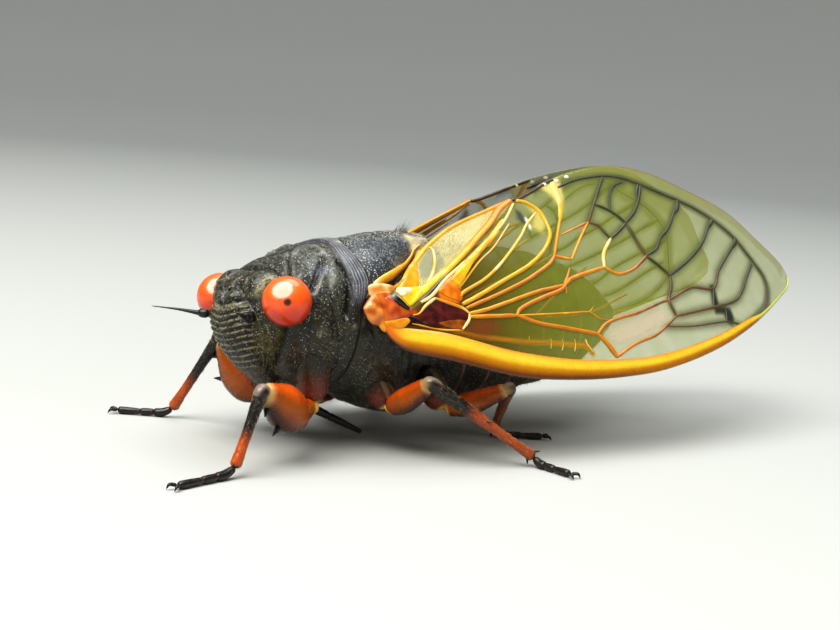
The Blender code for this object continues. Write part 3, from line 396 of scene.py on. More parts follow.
class Wire:
    """A socket of a node tree, so that node maths is written as an expression."""

    def __init__(self, tree, socket):
        self.tree = tree
        self.socket = socket

    def node(self, kind, settings=None, sockets=None, output=0):
        """Add a node: its settings first, then the values or links of its sockets."""
        made = self.tree.nodes.new(kind)
        for name, value in (settings or {}).items():
            if name == "stops":
                while len(made.color_ramp.elements) < len(value):
                    made.color_ramp.elements.new(0.5)
                for stop, (place, colour) in zip(made.color_ramp.elements, value):
                    stop.position = place
                    stop.color = (*colour, 1.0)
            else:
                setattr(made, name, value)
        set_sockets(made, sockets or {})
        return Wire(self.tree, made.outputs[output])

    def also(self, output):
        """Another output of the node that this wire comes from."""
        return Wire(self.tree, self.socket.node.outputs[output])

    def maths(self, operation, first, second=0.0):
        return self.node("ShaderNodeMath", {"operation": operation}, {0: first, 1: second})

    def __add__(self, other):
        return self.maths("ADD", self, other)

    def __sub__(self, other):
        return self.maths("SUBTRACT", self, other)

    def __mul__(self, other):
        return self.maths("MULTIPLY", self, other)

    def __rsub__(self, other):
        return self.maths("SUBTRACT", other, self)

    __radd__ = __add__
    __rmul__ = __mul__

    def above(self, edge, soft):
        """0 below an edge and 1 above it, over a soft width."""
        return self.node("ShaderNodeMapRange", {"interpolation_type": "SMOOTHSTEP"},
                         {"Value": self, "From Min": edge - soft, "From Max": edge + soft})


def new_finish(name):
    """A material with its Principled shader, and a wire on the piece's own coordinates in metres."""
    material = bpy.data.materials.new(name)
    material.use_nodes = True
    shader = material.node_tree.nodes["Principled BSDF"]
    return material, shader, Wire(material.node_tree, None).node("ShaderNodeTexCoord", output="Object")


SPECKS_PER_METRE = 8000.0
SPECK_GLINT_GREY = (0.42, 0.43, 0.37, 1.0)
MOTTLE_STOPS = ((0.3, (0.35, 0.35, 0.35)), (0.7, (1.4, 1.4, 1.4)))


def cuticle(name, grain=2600.0, pits=0.35, wrinkle=900.0, wax=0.15, mottle=0.5):
    """Insect cuticle: painted colour and gloss, pits, wrinkles and pale specks standing for bristle tips as
    painted glints, under a thin waxy coat.
    """
    material, shader, place = new_finish(name)
    paint = place.node("ShaderNodeAttribute", {"attribute_name": "paint"}, output="Color")
    gloss = paint.also("Alpha")
    fine = place.node("ShaderNodeTexNoise", sockets={"Vector": place, "Scale": grain, "Detail": 3.0})
    broad = place.node("ShaderNodeTexNoise",
                       sockets={"Vector": place, "Scale": wrinkle, "Detail": 4.0, "Roughness": 0.6})
    cells = place.node("ShaderNodeTexVoronoi", sockets={"Vector": place, "Scale": grain * 1.6},
                       output="Distance")
    height = broad * 0.6 + fine * 0.25 + cells * pits
    bump = place.node("ShaderNodeBump", sockets={"Strength": 0.55, "Distance": 0.00006, "Height": height})
    shade = place.node("ShaderNodeMix", {"data_type": "RGBA", "blend_type": "MULTIPLY"},
                       {"Factor": mottle, "A": paint,
                        "B": place.node("ShaderNodeValToRGB", {"stops": MOTTLE_STOPS}, {"Fac": broad})},
                       output="Result")
    # Pale specks stand for bristle tips catching the light: a painted glint.
    glint_share = place.node("ShaderNodeAttribute", {"attribute_name": "dust"}, output="Fac")
    specks = place.node("ShaderNodeTexVoronoi", sockets={"Vector": place, "Scale": SPECKS_PER_METRE},
                        output="Distance")
    chance = place.node("ShaderNodeSeparateColor", sockets={"Color": specks.also("Color")}, output="Red")
    lit = (1 - specks.above(0.32, 0.1)) * (chance + glint_share * 0.5).above(0.78, 0.1)
    lit = lit * (glint_share * 0.6 + 0.3) * glint_share.above(0.05, 0.04)
    shade = place.node("ShaderNodeMix", {"data_type": "RGBA"}, {"Factor": lit, "A": shade, "B": SPECK_GLINT_GREY},
                       output="Result")
    set_sockets(shader, {"Base Color": shade, "Roughness": gloss + (fine - 0.5) * 0.25, "Normal": bump,
                         "Specular IOR Level": 0.35, "Coat Weight": wax, "Coat Roughness": 0.2})
    return material


def trunk_bristle_glint(p):
    """How thickly the trunk is sprinkled with pale specks, painted glints of its bristles."""
    upper = ease((p.z - smooth_through(WAIST_LINE, p.y)) / 1.5)
    patchy = ease(0.5 + 0.9 * noise.noise(p * 1.1))
    if p.y < smooth_through(COLLAR_FRONT, p.z):
        return 0.25 + 0.55 * patchy * upper
    if p.y < collar_seam(p.z):
        return 0.15
    if p.y < waist_seam(p.z):
        return 0.3 * patchy + upper * (0.5 + 0.6 * patchy)
    return 0.15 + 0.2 * patchy


black_cuticle = cuticle("black_cuticle")
trunk.data.materials.append(black_cuticle)
point_layer(trunk.data, "dust", [trunk_bristle_glint(p) for p in trunk_points])
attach(trunk, "root")
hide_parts("prothorax", "mesothorax", "abdomen")

# Head: a broad black crown carries the eyes at its corners, and the swollen face plate in front of it
# is ribbed from side to side by the muscles of the sucking pump.  Three small ocelli sit on the crown.
CRANIUM_HALF_WIDTH = ((-4.3, 0.9), (-3.6, 1.5), (-2.8, 2.1), (-2.0, 2.6), (-1.2, 3.0), (-0.3, 3.2),
                      (0.6, 3.1), (1.2, 2.7), (1.55, 1.9), (1.72, 0.9))
CRANIUM_FRONT = ((-4.3, -0.3), (-3.6, -0.7), (-2.8, -1.1), (-2.0, -1.35), (-1.2, -1.5), (-0.3, -1.55),
                 (0.6, -1.4), (1.2, -1.1), (1.55, -0.75), (1.72, -0.4))
CLYPEUS_HALF_WIDTH = ((-5.5, 0.4), (-5.1, 0.65), (-4.5, 0.95), (-3.9, 1.3), (-3.2, 1.7), (-2.4, 2.05),
                      (-1.6, 2.2), (-0.8, 2.1), (0.0, 1.6), (0.5, 1.0), (0.9, 0.5))
CLYPEUS_FRONT = ((-5.5, 0.9), (-5.1, 0.4), (-4.5, -0.25), (-3.9, -0.85), (-3.2, -1.4), (-2.4, -1.88),
                 (-1.6, -2.16), (-0.8, -2.26), (0.0, -2.08), (0.5, -1.75), (0.9, -1.3))
RIB_PITCH = 0.335
RIB_RISE = 0.2
RIB_HEIGHT = 0.1
RIB_GOLD = (0.25, 0.215, 0.11)
RIB_GAP = (0.006, 0.006, 0.005)
CROWN_OLIVE = (0.05, 0.048, 0.03)
LEDGE_CREAM = (0.3, 0.29, 0.19)
CHEEK_OLIVE = (0.075, 0.07, 0.02)
EYE_RIM_CREAM = (0.4, 0.36, 0.2)
FACE_TOP = 0.9
# Levels of the crown and of the face plate: the lowest, how far they reach up from it, and in how many steps
CROWN_LEVELS = (-4.3, 6.02, 40)
FACE_LEVELS = (-5.5, 6.4, 50)
HEAD_SIDES = 40
HEAD_CLOSE = 0.05
HEAD_SETTLE = 6
EYE_SPREAD = 3.5
EYE_RADIUS = 1.4
OCELLI = ((0.0, -1.5, 0.74), (0.74, -1.08, 1.14), (-0.74, -1.08, 1.14))


def neck_seam(z):
    return 0.35 + 0.95 * ease((1.9 - z) / 2.4)


def level_rings(levels, half_width, front, back, sides, power):
    """Rings at several levels, each rounded in front and behind."""
    points = []
    for z in levels:
        near, far = smooth_through(front, z), back(z)
        for k in range(sides):
            turn = 2 * math.pi * k / sides
            x = smooth_through(half_width, z) * signed_power(math.cos(turn), 2 / power)
            y = (near + far) / 2 + (far - near) / 2 * signed_power(math.sin(turn), 2 / power)
            points.append(Vector((x, y, z)))
    for z in (levels[0], levels[-1]):
        points.append(Vector((0, (smooth_through(front, z) + back(z)) / 2, z)))
    return points


def applied(piece):
    """The piece's mesh with its modifiers worked in."""
    bpy.context.view_layer.update()
    result = bpy.data.meshes.new_from_object(piece.evaluated_get(bpy.context.evaluated_depsgraph_get()))
    piece.modifiers.clear()
    return result


def level_steps(lowest, height, steps):
    return [lowest + height * k / steps for k in range(steps + 1)]


def face_back(z):
    return 0.3 + 1.2 * ease((-3.6 - z) / 1.9)


head_blank = bmesh.new()
for levels, half_width, front, back, power in (
    (level_steps(*CROWN_LEVELS), CRANIUM_HALF_WIDTH, CRANIUM_FRONT, lambda z: neck_seam(z) + 0.25, 2.2),
    (level_steps(*FACE_LEVELS), CLYPEUS_HALF_WIDTH, CLYPEUS_FRONT, face_back, 2.1),
):
    rings = level_rings(levels, half_width, front, back, HEAD_SIDES, power)
    head_blank.from_mesh(plain_mesh("blank", rings, ring_faces(len(levels), HEAD_SIDES)))
bmesh.ops.recalc_face_normals(head_blank, faces=head_blank.faces)
head_mesh = bpy.data.meshes.new("head_blank")
head_blank.to_mesh(head_mesh)
head_blank.free()
head_form = in_scene("head_form", head_mesh)
fuse = head_form.modifiers.new("fuse", "REMESH")
fuse.mode = "VOXEL"
fuse.voxel_size = HEAD_CLOSE
settle = head_form.modifiers.new("settle", "SMOOTH")
settle.factor = 0.5
settle.iterations = HEAD_SETTLE
head_mesh = applied(head_form)
bpy.data.objects.remove(head_form)


def face_half_width(z):
    return smooth_through(CLYPEUS_HALF_WIDTH, z) if z < FACE_TOP else 0.0


def head_relief(p):
    """Ribs on the face plate, a furrow down its middle, a groove round it and lobes on the crown."""
    out = 0.03 * noise.noise(p * 3.0) + 0.015 * noise.noise(p * 9.0)
    colour = mixed(BLACK, CROWN_OLIVE, ease(0.5 + 1.2 * noise.noise(p * 4.0)))
    gloss = 0.45 + 0.1 * noise.noise(p * 2.0)
    width = face_half_width(p.z)
    on_face = ease((width + 0.05 - abs(p.x)) / 0.3) * ease((-0.5 - p.y) / 0.4)
    level = p.z - RIB_RISE * math.hypot(p.x, 0.5)
    ribbed = on_face * ease((p.z + 4.6) / 0.5) * ease((-0.3 - level) / 0.2)
    wave = math.sin(2 * math.pi * level / RIB_PITCH + 0.9 * noise.noise(p * 1.5))
    crest = (0.5 + 0.5 * wave) ** 2
    centre = bell(p.x, 0.2)
    patchy = ease(0.75 + 1.2 * noise.noise(p * 5.0))
    out += RIB_HEIGHT * ribbed * (crest - 0.4) * (1 - 0.5 * centre)
    colour = mixed(colour, mixed(RIB_GAP, RIB_GOLD, crest ** 2 * patchy), ribbed)
    if p.z < FACE_TOP and p.y < -0.4:
        out -= 0.14 * bell(abs(p.x) - width - 0.06, 0.11)
    front = ease((-0.5 - p.y) / 0.5)
    crown = ease((p.z + 0.1) / 0.3)
    out -= 0.2 * bell(p.x, 1.3) * ease((p.z - 1.0) / 0.5)
    cleft = crown * bell(p.x, 0.12) * front
    shelf = p.z + 0.12 - RIB_RISE * abs(p.x)
    ledge = bell(shelf, 0.1) * front * ease((1.7 - abs(p.x)) / 0.4)
    out -= 0.22 * cleft + 0.16 * ledge
    # The crown's cleft and the ledge above the face are painted near black: painted shade in the grooves.
    colour = mixed(colour, FURROW_SHADE, cleft + ledge)
    lip = 0.7 * bell(p.z + 0.36 - RIB_RISE * abs(p.x), 0.09) * front * ease((1.6 - abs(p.x)) / 0.3)
    colour = mixed(colour, LEDGE_CREAM, lip * patchy)
    out += 0.16 * front * bell(abs(p.x) - 0.62, 0.34) * bell(p.z - 0.32, 0.3)
    out += 0.12 * crown * bell(abs(p.x) - 1.75, 0.4) - 0.1 * crown * bell(abs(p.x) - 1.15, 0.14)
    cheek = ease((-0.8 - p.z) / 1.0) * ease((abs(p.x) - 1.5) / 0.5) * (1 - on_face)
    streaks = ease(0.6 + noise.noise(Vector((p.x * 4, p.y * 4, p.z * 1.2))))
    colour = mixed(colour, CHEEK_OLIVE, cheek * streaks)
    return out, colour, gloss


head_faces = [tuple(f.vertices) for f in head_mesh.polygons]
head_points, head_paint = [], []
for vertex in head_mesh.vertices:
    p = vertex.co
    out, colour, gloss = head_relief(p)
    for side in (1, -1):
        from_eye = p - Vector((side * EYE_SPREAD, 0, 0))
        rim = bell(from_eye.length - EYE_RADIUS - 0.1, 0.14)
        out += 0.07 * rim
        inward = ease(((from_eye.z - side * from_eye.x) / from_eye.length - 0.75) / 0.4)
        orbit = 0.8 * inward * bell(from_eye.length - EYE_RADIUS - 0.25, 0.22)
        colour = mixed(colour, EYE_RIM_CREAM, orbit * ease(0.6 + noise.noise(p * 5.0)))
    head_points.append(p + vertex.normal * out)
    head_paint.append((*colour, gloss))
head = skin_object("head_skin", head_points, head_faces, head_paint)
head.data.materials.append(black_cuticle)
point_layer(head.data, "dust", [0.2 + 0.45 * ease(0.5 + noise.noise(p * 1.4)) for p in head_points])
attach(head, "root")
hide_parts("head")


def ball_mesh(centre, radii, rings=32, sides=48):
    """Points and faces of an ellipsoid."""
    points = []
    for r in range(1, rings):
        tilt = math.pi * r / rings
        for s in range(sides):
            turn = 2 * math.pi * s / sides
            across, up = math.sin(tilt), math.cos(tilt)
            points.append(Vector(centre) + Vector((radii[0] * across * math.cos(turn),
                                                   radii[1] * across * math.sin(turn), radii[2] * up)))
    points.append(Vector(centre) + Vector((0, 0, radii[2])))
    points.append(Vector(centre) - Vector((0, 0, radii[2])))
    return points, ring_faces(rings - 1, sides)


ocellus_finish, ocellus_shader = new_finish("ocellus_glass")[:2]
set_sockets(ocellus_shader, {"Base Color": (0.07, 0.012, 0.01, 1.0), "Roughness": 0.12, "Coat Weight": 1.0})
points, faces = [], []
for spot in OCELLI:
    more_points, more_faces = ball_mesh(spot, (0.13, 0.13, 0.1), 12, 20)
    faces += [tuple(v + len(points) for v in face) for face in more_faces]
    points += more_points
ocelli = skin_object("ocelli", points, faces, [(0.3, 0.05, 0.02, 0.2)] * len(points))
ocelli.data.materials.append(ocellus_finish)
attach(ocelli, "root")

# Compound eyes: glossy red domes of thousands of tiny lenses, each with a dark spot where the lenses
# look straight out and a narrow rim of painted shade where the dome meets the head.
PUPIL_TURN = Vector((0.85, -0.52, 0.04)).normalized()
PUPIL_BLACK = (0.004, 0.001, 0.001, 1.0)
SOCKET_SHADE = (0.03, 0.01, 0.008, 1.0)
EYE_REDS_LIT_ABOVE = ((0.0, (0.33, 0.01, 0.0003)), (0.35, (0.62, 0.036, 0.0008)), (0.7, (0.82, 0.1, 0.002)),
            (1.0, (0.8, 0.13, 0.01)))
LENSES_PER_METRE = 22000.0


def eye_finish(side):
    """Clear lacquer over red, painted paler on the upper side and deeper below as painted light and shade,
    with a small dark spot facing outwards and painted shade at the rim.
    """
    material, shader, place = new_finish("eye_lens_" + side)
    low, high = EYES[side]
    centre = (low + high) / 2
    radius = (high.x - low.x) / 2
    hand = 1 if side == "L" else -1
    local = place.node("ShaderNodeVectorMath", {"operation": "SUBTRACT"}, {0: place, 1: tuple(centre)})
    unit = place.node("ShaderNodeVectorMath", {"operation": "SCALE"}, {0: local, "Scale": 1 / radius})
    outward = TILT @ Vector((hand * PUPIL_TURN.x, PUPIL_TURN.y, PUPIL_TURN.z))
    facing = place.node("ShaderNodeVectorMath", {"operation": "DOT_PRODUCT"}, {0: unit, 1: tuple(outward)},
                        output="Value")
    # The red is painted paler on the upper side and deeper below: painted light and shade.
    lift = place.node("ShaderNodeVectorMath", {"operation": "DOT_PRODUCT"}, {0: unit, 1: (0.0, -0.2, 0.98)},
                      output="Value")
    mottle = place.node("ShaderNodeTexNoise", sockets={"Vector": place, "Scale": 1400.0, "Detail": 2.0})
    tone = place.node("ShaderNodeValToRGB", {"stops": EYE_REDS_LIT_ABOVE},
                      {"Fac": lift * 0.5 + 0.5 + (mottle - 0.5) * 0.3})
    spot = facing.above(0.984, 0.008)
    dark = place.node("ShaderNodeMix", {"data_type": "RGBA"},
                      {"Factor": spot * 0.95, "A": tone, "B": PUPIL_BLACK}, output="Result")
    # Painted shade darkens the side where the dome meets the head.
    inner = 1 - facing.above(-0.35, 0.12)
    rimmed = place.node("ShaderNodeMix", {"data_type": "RGBA"},
                        {"Factor": inner, "A": dark, "B": SOCKET_SHADE}, output="Result")
    lenses = place.node("ShaderNodeTexVoronoi", sockets={"Vector": place, "Scale": LENSES_PER_METRE},
                        output="Distance")
    bump = place.node("ShaderNodeBump", {"invert": True},
                      {"Strength": 0.12, "Distance": 0.00001, "Height": lenses})
    set_sockets(shader, {"Base Color": rimmed, "Normal": bump, "Roughness": 0.4, "Specular IOR Level": 0.15,
                         "Coat Weight": 0.85, "Coat IOR": 1.6, "Coat Roughness": 0.18})
    return material


for side, hand in (("L", 1), ("R", -1)):
    points, faces = ball_mesh((hand * EYE_SPREAD, 0, 0), (EYE_RADIUS * 0.985, EYE_RADIUS, EYE_RADIUS), 40, 64)
    eye = skin_object("eye_dome_" + side, points, faces, [(0.7, 0.05, 0.01, 0.3)] * len(points))
    eye.data.materials.append(eye_finish(side))
    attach(eye, "root")
    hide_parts("eye_" + side)

# Feelers and beak: the feelers are two stout joints and a tapering bristle, and the beak is a jointed
# sheath for the sucking needles, hinged under the face and carried back between the front legs.
BEAK_ROOT = (0.0, 1.3, -5.35)
BEAK_TIP = (0.0, 7.3, -8.5)
FEELER = ((1.6, -1.05, -0.9), (2.1, -1.75, -0.8), (2.5, -2.2, -0.72), (3.4, -3.0, -0.5), (4.6, -4.0, -0.3))
FEELER_JOINTS = ((0.3, 0.33, 0.27), (0.22, 0.27, 0.2))
BRISTLE_RADII = (0.17, 0.14, 0.07, 0.02)
BEAK_RADII = ((0.38, 0.34, 0.27), (0.26, 0.27, 0.22), (0.23, 0.2, 0.13))


def mirrored(places, hand):
    return [Vector((p.x * hand, p.y, p.z)) for p in places]


def limb(route, radii, steps=40, sides=24, flatten=1.0, tint=None, bumps=0.0):
    """A smooth round limb with rounded ends: its points, faces, colours, and each point's lie along it."""
    route = vectors(route)
    radii = list(enumerate(radii))
    shares = [list(enumerate(p[axis] for p in route)) for axis in range(3)]
    last = len(route) - 1
    spread = (len(radii) - 1) / last
    points, paint, lies = [], [], []
    for step in range(steps):
        share = step / (steps - 1)
        at = share * last
        here = Vector([smooth_through(axis, at) for axis in shares])
        ahead = Vector([smooth_through(axis, min(at + 0.05, last)) for axis in shares])
        ahead -= Vector([smooth_through(axis, max(at - 0.05, 0)) for axis in shares])
        ahead.normalize()
        side = ahead.cross(Vector((0, 0, 1)))
        side = side.normalized() if side.length > 0.2 else ahead.cross(Vector((0, 1, 0))).normalized()
        lift = side.cross(ahead)
        length = (route[-1] - route[0]).length
        radius = smooth_through(radii, at * spread)
        end = min(share, 1 - share) * length / max(radius, 0.01)
        radius *= math.sqrt(max(1 - (1 - min(end + 0.02, 1.0)) ** 2, 0.01))
        for s in range(sides):
            turn = 2 * math.pi * s / sides
            p = here + side * radius * flatten * math.cos(turn) + lift * radius * math.sin(turn)
            p += (p - here).normalized() * bumps * noise.noise(p * 4.0)
            points.append(p)
            colour, gloss = tint(share, math.sin(turn)) if tint else (BLACK, 0.35)
            paint.append((*colour, gloss))
            lies.append((ahead, share, s / sides))
    points += [Vector(route[0]), Vector(route[-1])]
    paint += [paint[0], paint[-1]]
    return points, ring_faces(steps, sides), paint, lies + [(ahead, 0.0, 0.0)] * 2


def gathered(name, parts):
    """One piece from several closed parts."""
    points, faces, paint = [], [], []
    for more_points, more_faces, more_paint in (part[:3] for part in parts):
        faces += [tuple(v + len(points) for v in face) for face in more_faces]
        points += more_points
        paint += more_paint
    return skin_object(name, points, faces, paint)


for side, hand in (("L", 1), ("R", -1)):
    route = mirrored(vectors(FEELER), hand)
    feeler = gathered("feeler_" + side, [
        limb(route[:2], FEELER_JOINTS[0], 16),
        limb([route[1].lerp(route[0], 0.15), route[2]], FEELER_JOINTS[1], 16),
        limb([route[2].lerp(route[1], 0.2)] + route[2:], BRISTLE_RADII, 40, 12),
    ])
    feeler.data.materials.append(black_cuticle)
    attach(feeler, "root")
    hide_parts("antenna_" + side)

root, tip = Vector(BEAK_ROOT), Vector(BEAK_TIP)
beak = gathered("beak", [
    limb([root - (tip - root) * 0.05, root.lerp(tip, 0.3)], BEAK_RADII[0], 30),
    limb([root.lerp(tip, 0.27), root.lerp(tip, 0.62)], BEAK_RADII[1], 30),
    limb([root.lerp(tip, 0.6), tip], BEAK_RADII[2], 40),
])
beak.data.materials.append(black_cuticle)
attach(beak, "root")
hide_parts("rostrum")

# Legs: six jointed legs of hard cuticle, each a hip piece, a small ring, an orange thigh, a shin and
# a three-jointed foot with two claws.  The front thighs are swollen and armed with black spines.
ANKLE_HEIGHT = 0.55
SOLE_HEIGHT = 0.24
LEGS = {
    "fore_L": ((2.8, 2.0, -2.2), (2.35, 2.3, -6.0), (5.0, -2.8, -4.6), (6.1, -4.3), (7.2, -8.3)),
    "fore_R": ((-2.8, 2.0, -2.2), (-2.35, 2.3, -6.0), (-5.5, 1.0, -2.6), (-7.7, -0.3), (-9.6, -3.0)),
    "mid_L": ((1.9, 6.5, -4.6), (3.2, 6.9, -6.7), (6.5, 7.6, -5.1), (9.6, 14.0), (12.4, 14.3)),
    "mid_R": ((-1.9, 6.5, -4.6), (-3.2, 6.9, -6.7), (-6.5, 7.6, -5.1), (-10.3, 13.4), (-12.4, 15.2)),
    "hind_L": ((2.0, 10.4, -4.8), (3.4, 11.0, -7.2), (6.5, 13.5, -6.0), (2.9, 16.6), (4.4, 19.4)),
    "hind_R": ((-2.0, 10.4, -4.8), (-3.4, 11.0, -7.2), (-6.5, 13.5, -6.0), (-9.9, 20.2), (-11.4, 22.9)),
}
COXA_RADII = {"fore": (1.0, 1.0, 0.74), "mid": (0.95, 0.9, 0.7), "hind": (0.95, 0.9, 0.7)}
FEMUR_RADII = {
    "fore": (0.42, 0.68, 1.2, 1.32, 0.9, 0.46),
    "mid": (0.4, 0.64, 0.74, 0.7, 0.58, 0.42),
    "hind": (0.4, 0.64, 0.72, 0.64, 0.52, 0.42),
}
TIBIA_RADII = {"fore": (0.42, 0.33, 0.29, 0.29, 0.35), "mid": (0.42, 0.38, 0.32, 0.28, 0.33),
               "hind": (0.4, 0.34, 0.29, 0.27, 0.32)}
RING_RADII = (0.5, 0.6, 0.5)
KNEE_RADII = (0.34, 0.42, 0.36)
FOOT_RADII = ((0.2, 0.26, 0.24), (0.19, 0.22, 0.21), (0.17, 0.2, 0.22, 0.22))
CLAW_RADII = (0.11, 0.09, 0.015)
THIGH_SPINE_RADII = (0.24, 0.17, 0.02)
SHIN_SPINE_RADII = (0.1, 0.07, 0.015)
FEMUR_SAG = {"fore": 0.75, "mid": 0.15, "hind": 0.15}
FEMUR_FLATNESS = {"fore": 0.75, "mid": 0.85, "hind": 0.85}
SAG_SHARES = (0.1, 0.7, 1.0, 0.8, 0.35, 0.0)
THIGH_SPINES = ((0.6, 0.4, 1.0), (0.86, 0.4, 0.35))
SHIN_SPINES = ((0.5, 20, 0.35), (0.72, 200, 0.35), (0.95, 60, 0.4), (0.95, 240, 0.4))
THIGH_LIT_ORANGE = (0.6, 0.09, 0.006)
THIGH_SHADED_AMBER = (0.34, 0.072, 0.002)
KNEE_CREAM = (0.64, 0.43, 0.17)
RING_YELLOW = (0.6, 0.4, 0.1)
RING_OCHRE = (0.5, 0.33, 0.08)
THIGH_SHADE = (0.02, 0.008, 0.006)
SHIN_RED = (0.3, 0.052, 0.01)
SHIN_BLACK = (0.015, 0.012, 0.01)
SHIN_ORANGE = (0.42, 0.07, 0.008)
SHIN_MAROON = (0.12, 0.03, 0.012)
SHIN_GLINT_PINK = (0.3, 0.17, 0.12)
ANKLE_BLACK = (0.02, 0.012, 0.01)
FOOT_MAROON = (0.06, 0.018, 0.01)
FOOT_BLACK = (0.014, 0.012, 0.012)
HIP_BLACK = (0.018, 0.017, 0.01)
HIP_RED = (0.15, 0.022, 0.008)
HIP_CREAM = (0.3, 0.24, 0.13)
KNEE_BLACK = (0.02, 0.013, 0.013)
KNEE_GLINT_LILAC = (0.42, 0.33, 0.27)
SPINE_BLACK = (0.03, 0.012, 0.008)
SOLE_STEPS = ((0.18, SOLE_HEIGHT + 0.05), (0.6, SOLE_HEIGHT), (1.0, SOLE_HEIGHT))
# Hairs of a leg's hip, thigh, shin and foot joints: how many to a square millimetre, and how long
LEG_DOWN = {0: (18, 0.16), 2: (16, 0.1), 3: (30, 0.2), 4: (14, 0.1), 5: (10, 0.08), 6: (10, 0.08)}
FLOOR_UP = TILT.transposed() @ Vector((0, 0, 1))


def thigh_tint(share, up):
    # Painted light and shade: brighter orange on top, deeper amber lower down and painted shade along the
    # underside. The cream knee band is the leg's own colour, made a little stronger on top as a painted
    # highlight.
    colour = mixed(THIGH_SHADED_AMBER, THIGH_LIT_ORANGE, ease((up - 0.05) / 0.6))
    colour = mixed(colour, THIGH_SHADE, bell(up + 1.0, 0.45) * 0.95)
    colour = mixed(colour, RING_YELLOW, 1 - ease((share - 0.05) / 0.05))
    colour = mixed(colour, KNEE_CREAM, ease((share - 0.86) / 0.09) * (0.75 + 0.25 * up))
    return colour, 0.25


def shin_tint(kind):
    def tint(share, up):
        if kind == "fore":
            colour = mixed(SHIN_BLACK, SHIN_ORANGE, ease((share - 0.45) / 0.3))
        elif kind == "mid":
            colour = mixed(SHIN_BLACK, SHIN_RED, ease((share - 0.3) / 0.15))
        else:
            colour = mixed(SHIN_MAROON, SHIN_RED, share * 0.6)
        # A pale pink painted highlight on the upper side of the shin's base.
        colour = mixed(colour, SHIN_GLINT_PINK, (1 - ease((share - 0.03) / 0.06)) * ease(0.5 + 1.2 * up))
        return mixed(colour, ANKLE_BLACK, ease((share - 0.95) / 0.04)), 0.32
    return tint


def knee_tint(share, up):
    colour = mixed(KNEE_CREAM, KNEE_BLACK, ease((share - 0.2) / 0.35))
    # A lilac painted highlight on the upper side of the knee.
    return mixed(colour, KNEE_GLINT_LILAC, 0.5 * ease((up - 0.35) / 0.5)), 0.22


def one_tint(colour, gloss):
    return lambda share, up: (colour, gloss)


def foot_tint(share, up):
    return mixed(FOOT_MAROON, FOOT_BLACK, share * 3), 0.3


def hip_tint(share, up):
    colour = mixed(HIP_BLACK, HIP_RED, ease((share - 0.35) / 0.5) * 0.8)
    colour = mixed(colour, HIP_CREAM, 0.8 * bell(up - 0.93, 0.05) * ease(share / 0.3))
    return mixed(colour, RING_YELLOW, ease((share - 0.93) / 0.05)), 0.4


